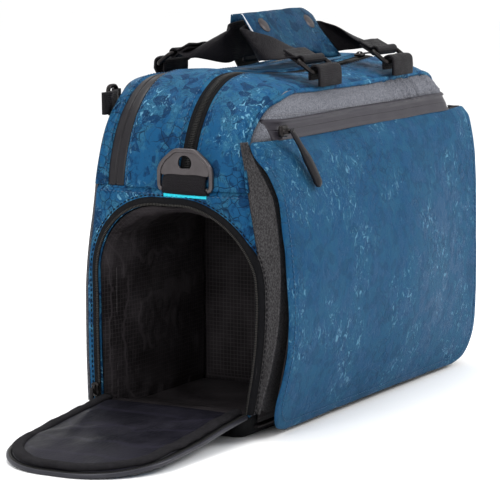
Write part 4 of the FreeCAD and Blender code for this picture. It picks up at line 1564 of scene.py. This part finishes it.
mid = (low + high) / 2
pull("door_pull_cord", "door_pull", "door_zip_pull", Vector((mid.x, mid.y, high.z)),
     Vector((mid.x, mid.y, low.z)), -X_WAY, 3.0, 1.0)

# Shoulder strap rings ----------------------------------------------------------------------------
# Cast pewter rings with a plate and a round eye, held on both ends by folded webbing sewn into the
# level seam, over a short bar of bright satin stitch.

pewter_paint = Paint("pewter", Metallic=0.75, Roughness=0.4)
at = pewter_paint.place()
tone = pewter_paint.noise(at, 120.0, 4.0)
pewter_paint.drive("Base Color", pewter_paint.mix(tone, (0.065, 0.058, 0.06), (0.13, 0.118, 0.122)))
pewter_paint.drive("Roughness", pewter_paint.range(tone, 0.3, 0.7) * 0.18 + 0.3)
pewter_paint.drive("Normal", pewter_paint.bump(pewter_paint.noise(at, 1200.0, 2.0), 0.2, 0.0002))
web_paint = Paint("black_webbing", Roughness=0.42, Specular_IOR_Level=0.14)
at = web_paint.place()
rib = web_paint.threads(at, 0.0016)
tone = web_paint.noise(at, 70.0, 3.0)
web_paint.drive("Base Color", web_paint.mix(tone, (0.005, 0.0045, 0.0055), (0.013, 0.011, 0.014)))
web_paint.drive("Roughness", web_paint.range(tone, 0.3, 0.7) * 0.15 + 0.42)
web_paint.drive("Normal", web_paint.bump(rib, 0.5, 0.0004))
accent_paint = Paint("cyan_satin_stitch", Roughness=0.4)
tone = accent_paint.noise(accent_paint.place(), 500.0, 1.0)
accent_paint.drive("Base Color", accent_paint.mix(tone, (0.0, 0.42, 0.55), (0.02, 0.72, 0.82)))
RING_Y = -26.0
RING_BAR = Vector((-206.2, RING_Y, 207.0))


def plate(name, outline, holes, depth, bevel, paint, place):
    """Flat casting with rounded edges from an outline and its holes, as (y, z) points."""
    curve = bpy.data.curves.new(name, "CURVE")
    curve.dimensions = "2D"
    curve.fill_mode = "BOTH"
    curve.extrude = (depth / 2 - bevel) * MM
    curve.bevel_depth = bevel * MM
    curve.bevel_resolution = 3
    for points in [outline] + holes:
        line = curve.splines.new("POLY")
        line.points.add(len(points) - 1)
        for spot, (a, b) in zip(line.points, points):
            spot.co = (a * MM, b * MM, 0.0, 1.0)
        line.use_cyclic_u = True
    made = bpy.data.objects.new(name + "_curve", curve)
    bpy.context.collection.objects.link(made)
    bpy.context.view_layer.update()
    mesh = bpy.data.meshes.new_from_object(made.evaluated_get(bpy.context.evaluated_depsgraph_get()))
    bpy.data.objects.remove(made)
    for vertex in mesh.vertices:
        a, b, c = vertex.co
        vertex.co = Vector(place) * MM + Vector((c, a, b))
    mesh.materials.clear()
    mesh.materials.append(paint.material)
    mesh.polygons.foreach_set("use_smooth", [True] * len(mesh.polygons))
    obj = bpy.data.objects.new(name, mesh)
    bpy.context.collection.objects.link(obj)
    edges = obj.modifiers.new("Edges", "EDGE_SPLIT")
    edges.split_angle = math.radians(50.0)
    return obj


def rounded(points, r, steps=6):
    """Polygon with its corners rounded off."""
    out = []
    n = len(points)
    for i in range(n):
        p = Vector(points[i])
        a = (Vector(points[i - 1]) - p)
        b = (Vector(points[(i + 1) % n]) - p)
        cut = min(r, a.length * 0.45, b.length * 0.45)
        a = p + a.normalized() * cut
        b = p + b.normalized() * cut
        for k in range(steps + 1):
            s = k / steps
            out.append(tuple(a * (1 - s) ** 2 + p * 2 * s * (1 - s) + b * s ** 2))
    return out


left_half = [(-23.4, -0.6), (-24.8, 2.5), (-24.8, 16.5), (-20.5, 23.0), (-9.5, 31.8)]
RING_OUTLINE = left_half + [(-a, b) for a, b in reversed(left_half)]
left_half = [(-22.4, 11.6), (-22.4, 15.5), (-18.8, 21.6), (-8.9, 30.0)]
inner_plate = rounded(left_half + [(-a, b) for a, b in reversed(left_half)], 2.4)
EYE_POINTS = 40
turns = [2 * math.pi * i / EYE_POINTS for i in range(EYE_POINTS)]
eye = [(6.9 * math.cos(a), 21.6 + 6.6 * max(math.sin(a), -0.78)) for a in turns]

for side, label in ((1, "left"), (-1, "right")):
    face = plate("strap_ring_plate_" + label, inner_plate, [eye], 2.2, 0.6, pewter_paint, RING_BAR)
    outline = rounded(RING_OUTLINE, 3.6)
    path = [RING_BAR + Vector((0, a, b)) for a, b in outline]
    frame_wire = swept("strap_ring_frame_" + label, path, [-X_WAY] * len(path), oval(1.9, 2.0, 14, 2.8),
                       pewter_paint)
    path = [RING_BAR + Vector((0, a, 0)) for a in even(8, -25.0, 25.0)]
    bar = swept("strap_ring_bar_" + label, path, [-X_WAY] * 8, oval(1.7, 1.7, 12, 2.0), pewter_paint)
    parts = [face, frame_wire, bar]
    if side < 0:
        for part in parts:
            for vertex in part.data.vertices:
                vertex.co.x = -vertex.co.x
            part.data.flip_normals()
    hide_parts("strap_ring_" + label)
    for part in parts:
        fitted(part, "gunmetal", "strap_ring_l" if side > 0 else "strap_ring_r")


def folded_web(name, profile, x_rows, width_at, paint):
    """Webbing that keeps one closed side profile along its width."""
    verts = []
    for i, row in enumerate(x_rows):
        for a, b in profile:
            verts.append(width_at(row, a, b))
    m = len(profile)
    faces = tube_faces(len(x_rows), m)
    last = (len(x_rows) - 1) * m
    half = m // 2
    for k in range(half - 1):
        cap = (k, k + 1, m - 2 - k, m - 1 - k)
        faces.append(cap)
        faces.append(tuple(last + c for c in reversed(cap)))
    return piece(name, verts, faces, paint)


def loop_profile(path, wall):
    """Closed outline of a band of the given thickness that follows an open path of (a, b)."""
    outer = []
    inner = []
    n = len(path)
    for i in range(n):
        a = Vector(path[max(i - 1, 0)])
        b = Vector(path[min(i + 1, n - 1)])
        way = (b - a).normalized()
        off = Vector((-way.y, way.x)) * wall / 2
        outer.append(tuple(Vector(path[i]) + off))
        inner.append(tuple(Vector(path[i]) - off))
    return outer + inner[::-1]


def arc(ca, cb, ra, rb, degrees):
    """Points on an oval round (ca, cb) at the given angles."""
    return [(ca + ra * math.cos(math.radians(a)), cb + rb * math.sin(math.radians(a))) for a in degrees]


tab_path = [(0.2, -4.2), (2.2, -4.5)]
tab_path += arc(5.0, 3.6, 3.9, 7.9, range(-95, 200, 16))
tab_path += [(0.6, 1.0)]
for side, label in ((1, "left"), (-1, "right")):
    def tab_at(row, a, b):
        wide = 20.6 + 1.4 * smooth((-b - 1.0) / 4.0)
        edge = 1.0 - 0.12 * abs(row) ** 8
        z = RING_BAR.z + b * edge + 0.3 * ripple((row * 20, a, b), 9.0, 71.0)
        return Vector((side * (-201.0 - a * edge), RING_Y + row * wide, z))

    roll = loop_profile(tab_path, 1.7)
    tab = folded_web("strap_tab_web_" + label, roll, even(25, -1.0, 1.0), tab_at, web_paint)
    fitted(tab, "webbing", "root", "strap_tab_" + label)

    def satin_at(row, share):
        y = RING_Y - 20.0 + 40.0 * row
        z = 199.5 + 3.4 * share + 0.5 * row
        thread = abs(math.sin(math.pi * row * 46.0))
        lift = 0.25 + 0.75 * math.sin(math.pi * share) ** 0.4 * (0.45 + 0.55 * thread)
        p = end_surface(y, z, -0.2, 0.5)
        return Vector((side * (p.x - lift), y, z))
    verts, faces = grid(even(277), even(7), satin_at)
    if side > 0:
        faces = [f[::-1] for f in faces]
    satin = piece("satin_bar_" + label, verts, faces, accent_paint)
    if side > 0:
        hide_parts("accent_tabs")
    fitted(satin, "accent", "root")

# Handles -----------------------------------------------------------------------------------------
# Black webbing. Four folded loops are sewn into the top seams and hold wire rings; each handle runs
# from one ring to the other, its legs twisting on edge before they enter the padded grip.

LOOPS = [("front", -84.0, 297.0, -70.0, 307.0, 1, "front_handle"),
         ("rear", 70.0, 300.0, 56.0, 310.0, -1, "rear_handle")]


def wire_loop(name, points, r, node, body):
    """Closed ring of round wire with rounded corners."""
    path = []
    n = len(points)
    for i in range(n):
        p, a, b = points[i], points[i - 1], points[(i + 1) % n]
        cut = min(4.5, (a - p).length * 0.4, (b - p).length * 0.4)
        s = p + (a - p).normalized() * cut
        e = p + (b - p).normalized() * cut
        for k in range(6):
            t = k / 5
            path.append(s * (1 - t) ** 2 + p * 2 * t * (1 - t) + e * t ** 2)
        for k in (1, 2):
            path.append(e.lerp(b + (p - b).normalized() * cut, k / 3))
    normal = (points[1] - points[0]).cross(points[2] - points[1]).normalized()
    made = swept(name, path, [normal] * len(path), oval(r, r, 12, 2.0), metal_paint, closed=True)
    fitted(made, "gunmetal", body, node)


for end, bar_y, bar_z, far_y, far_z, way, body in LOOPS:
    for side, label in ((-1, "left"), (1, "right")):
        node = "anchor_" + end + "_" + label
        low, high = corners(node)
        mid_x = (low.x + high.x) / 2
        path = [(-way * (5.2 if way > 0 else 1.0), -12.0), (-way * 5.4, -4.0)]
        path += arc(0.0, 1.0, -way * 5.0, 4.9, range(0, 181, 15))
        path += [(way * 5.0, -4.0), (way * 4.6, -7.0)]

        def web_at(row, a, b):
            edge = 1.0 - 0.05 * abs(row) ** 6
            lean = 0.6 * ripple((row * 15, a, 3), 14.0, 73.0 + side)
            z = bar_z + b * edge + 0.5 * ripple((row * 20, a, b), 12.0, 74.0)
            return Vector((mid_x + row * 19.8, bar_y + a * edge + lean, z))

        roll = loop_profile(path, 2.0)
        loop = folded_web("anchor_web_" + end + "_" + label, roll, even(21, -1.0, 1.0), web_at, web_paint)
        fitted(loop, "webbing", "root", node)
        x0, x1 = mid_x - 22.6, mid_x + 22.6
        points = [Vector(p) for p in ((x0, bar_y, bar_z), (x1, bar_y, bar_z),
                                      (x1, far_y, far_z), (x0, far_y, far_z))]
        wire_loop("ring_wire_" + end + "_" + label, points, 2.0, "handle_ring_" + end + "_" + label, body)

GRIP_HALF = 60.0
GRIPS = {"front": (-24.0, 305.0, 4.0, 343.0), "rear": (17.0, 305.0, 13.0, 343.0)}


def spline(keys, samples):
    """Smooth run through key tuples of vectors."""
    out = []
    n = len(keys)
    for i in range(n - 1):
        k0, k1, k2, k3 = keys[max(i - 1, 0)], keys[i], keys[i + 1], keys[min(i + 2, n - 1)]
        for s in range(samples + (1 if i == n - 2 else 0)):
            t = s / samples
            made = []
            for a, b, c, d in zip(k0, k1, k2, k3):
                bend = 2 * a - 5 * b + 4 * c - d + t * (3 * (b - c) + d - a)
                made.append(b + 0.5 * t * (c - a + t * bend))
            out.append(made)
    return out


for end, bar_y, bar_z, far_y, far_z, way, body in LOOPS:
    y0, z0, y1, z1 = GRIPS[end]
    lean = Vector((0.0, y1 - y0, z1 - z0)).normalized()
    mid_y = (y0 + y1) / 2 + way * 3.0
    mid_z = (z0 + z1) / 2 - 1.0
    start_y = far_y + way * 3.6
    reach = mid_y - start_y
    half = [(Vector((-70.0, start_y, far_z + 1.8)), Vector((19.0, 0, 0))),
            (Vector((-75.0, start_y + reach * 0.22, 311.5)), Vector((18.4, way * 2.5, 3.0))),
            (Vector((-79.0, start_y + reach * 0.50, 315.5)), Vector((14.0, way * 8.0, 9.0))),
            (Vector((-76.5, start_y + reach * 0.80, 318.0)), Vector((6.0, way * 11.0, 13.0))),
            (Vector((-66.0, mid_y - way * 2.0, mid_z - 5.0)), lean * 17.6),
            (Vector((-40.0, mid_y, mid_z - 2.0)), lean * 17.2)]
    keys = half + [(Vector((-c.x, c.y, c.z)), Vector((-w.x, w.y, w.z))) for c, w in reversed(half)]
    run = spline(keys, 9)
    verts = []
    across = [(-1.0, 0.0)] + [(s, 1.0) for s in (-0.94, -0.5, 0.0, 0.5, 0.94)] + [(1.0, 0.0)]
    across += [(s, -1.0) for s in (0.94, 0.5, 0.0, -0.5, -0.94)]
    for i, (center, wide) in enumerate(run):
        ahead = run[min(i + 1, len(run) - 1)][0] - run[max(i - 1, 0)][0]
        normal = wide.cross(ahead).normalized()
        cup = 1.2 * math.sin(i * 0.42)
        for s, t in across:
            verts.append(center + wide * s + normal * (t * 1.05 + cup * (s * s - 0.4)))
    m = len(across)
    faces = [tuple(range(m))[::-1], tuple((len(run) - 1) * m + k for k in range(m))]
    faces += tube_faces(len(run), m)
    strap = subdivided(piece("handle_web_" + end, verts, faces, web_paint))
    fitted(strap, "webbing", body, "handle_" + end)
    for side, label in ((-1, "left"), (1, "right")):
        path = [(way * 16.0, 8.0), (way * 10.0, 4.9), (way * 4.6, 2.4)]
        path += arc(0.0, 0.0, way * 3.5, 3.5, range(40, 330, 20))
        path += [(way * 4.6, -0.6), (way * 10.0, 2.2), (way * 15.0, 4.9)]

        def end_at(row, a, b):
            lift = 1.0 + 0.08 * ripple((row * 20, a, b), 12.0, 76.0)
            return Vector((side * 70.0 + row * 18.9, far_y + a, far_z + b * lift))

        roll = loop_profile(path, 1.7)
        wrap = folded_web("handle_end_" + end + "_" + label, roll, even(19, -1.0, 1.0), end_at, web_paint)
        fitted(wrap, "webbing", body)

# Padded grip -------------------------------------------------------------------------------------
# Two leaves of the blue fabric over foam that wrap the handles and close on each other with press
# studs. They stand open; their raw edges are bound with a thin pale cord.

pale_paint = Paint("pale_edge_cord", Roughness=0.6)
tone = pale_paint.noise(pale_paint.place(), 600.0, 1.0)
pale_paint.drive("Base Color", pale_paint.mix(tone, (0.42, 0.43, 0.46), (0.62, 0.63, 0.66)))
cap_paint = Paint("brown_press_stud", Metallic=0.45, Roughness=0.38)
at = cap_paint.place()
tone = cap_paint.noise(at, 300.0, 2.0)
cap_paint.drive("Base Color", cap_paint.mix(tone, (0.022, 0.017, 0.019), (0.05, 0.042, 0.045)))


def leaf_point(end, u, v, offset):
    y0, z0, y1, z1 = GRIPS[end]
    way = 1.0 if end == "front" else -1.0
    height = math.hypot(y1 - y0, z1 - z0)
    x = GRIP_HALF * (2 * u - 1)
    up = v
    top_cut = 0.0
    if end == "front":
        over = max(x - (GRIP_HALF - 16.0), 0.0) / 16.0
        top_cut = 9.0 * over ** 2.2
    along = up * (height - top_cut) / height - 0.16 * smooth((x - 6.0) / 40.0) * (1.0 - up) ** 1.5
    y = y0 + (y1 - y0) * along
    z = z0 + (z1 - z0) * along
    normal = Vector((0.0, -(z1 - z0), y1 - y0)).normalized() * way
    p = Vector((x, y, z))
    edge = min(GRIP_HALF - abs(x), (height - top_cut) * (1 - v), height * v + 6.0)
    body = 0.35 + 0.65 * (1 - math.exp(-(max(edge, 0.0) / 4.0) ** 2))
    bend = 2.4 * math.sin(math.pi * u) - 1.0 + 1.3 * ripple((x, up * 40, 0), 26.0, 81.0)
    bend += 2.6 * smooth((x - 30.0) / 30.0) * (1 - v) * 1.2
    return p + normal * (1.5 + bend * 0.8 + offset * 1.6 * body)


leaves = {}
for end, body in (("front", "grip_front"), ("rear", "grip_rear")):
    shell = closed_pad(even(62), even(26), lambda u, v: leaf_point(end, u, v, 1),
                       lambda u, v: leaf_point(end, u, v, -1))
    leaf = piece("grip_leaf_" + end + "_pad", *shell, shaded_grip_paint)
    puff(leaf, 1.2, 3.0, 0.02)
    subdivided(leaf)
    leaves[end] = leaf
    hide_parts("grip_leaf_" + end)
    y0, z0, y1, z1 = GRIPS[end]
    y0 * MM
    (z0 - 2.0) * MM
    y0 * MM
    (z0 + 5.0) * MM
    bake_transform(leaf)
    path = [leaf_point(end, 0.002, v, 0) for v in even(30, 0.15, 1.0)]
    cord = swept("grip_edge_" + end, path, [-Y_WAY] * len(path), oval(0.9, 0.9, 8, 2.0), pale_paint)
    fitted(cord, "binding", body)


STUD_POINTS = 28


def stud(name, center, normal, r, high):
    """Domed press stud with a rolled edge."""
    side = normal.cross(X_WAY).normalized()
    rows = [(0.0, high), (0.35, high * 0.97), (0.62, high * 0.86), (0.78, high * 0.66), (0.84, high * 0.6),
            (0.93, high * 0.66), (1.0, high * 0.4), (1.0, 0.0), (0.9, -0.6)]

    def at(i, k):
        turn = 2 * math.pi * i / STUD_POINTS
        out, up = rows[k]
        return center + (X_WAY * math.cos(turn) + side * math.sin(turn)) * r * out + normal * up

    verts, faces = grid(range(STUD_POINTS), range(1, len(rows)), at, loop=True)
    top = len(verts)
    verts.append(center + normal * high)
    step = len(rows) - 1
    for i in range(STUD_POINTS):
        faces.append((top, ((i + 1) % STUD_POINTS) * step, i * step))
    return piece(name, verts, faces, cap_paint)


STUD_Z = 331.0
for end, node, r in (("front", "snap_caps", 7.5), ("rear", "snap_sockets", 6.0)):
    y0, z0, y1, z1 = GRIPS[end]
    way = 1.0 if end == "front" else -1.0
    normal = Vector((0.0, -(z1 - z0), y1 - y0)).normalized() * way
    for x, label in ((-40.0, "left"), (40.0, "right")):
        share = (STUD_Z - z0) / (z1 - z0)
        center = leaf_point(end, (x / GRIP_HALF + 1) / 2, share, 1) + normal * 0.2
        made = stud(node + "_" + label, center, normal, r, 2.0)
        if x < 0:
            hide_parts(node)
        fitted(made, "slider_metal", "grip_" + end)

# Rings on the back -------------------------------------------------------------------------------
# Webbing tabs sewn on the back panel's upper corners, each folded round an upright wire ring.

BACK_BAR_X, BACK_FAR_X, BACK_WIRE_Y = 139.0, 152.0, 83.4
for node, label, side in (("back_tab_left", "left", -1), ("back_tab_right", "right", 1)):
    low, high = corners(node)
    path = [(-44.0, -15.5), (-32.0, -15.0), (-18.0, -11.5), (-8.0, -6.0)]
    path += arc(0.0, 0.0, 3.3, 3.3, range(230, -51, -20))
    path += [(-7.0, -3.0), (-18.0, -8.5), (-32.0, -13.0), (-43.0, -13.6)]

    def back_web_at(row, a, b):
        z = (low.z + high.z) / 2 + row * (high.z - low.z) / 2
        y = BACK_WIRE_Y + b + 0.2 * ripple((a, row * 9, 0), 9.0, 91.0)
        return Vector((side * (BACK_BAR_X - a), y, z))

    roll = loop_profile(path, 1.7)
    tab = folded_web("back_web_" + label, roll, even(11, -1.0, 1.0), back_web_at, web_paint)
    fitted(tab, "webbing", "root", node)
    z0, z1 = 260.0, 284.0
    spots = ((BACK_BAR_X, z0), (BACK_BAR_X, z1), (BACK_FAR_X, z1), (BACK_FAR_X, z0))
    points = [Vector((side * x, BACK_WIRE_Y, z)) for x, z in spots]
    wire_loop("back_ring_wire_" + label, points, 1.9, "back_ring_" + label, "back_ring_" + label[0])
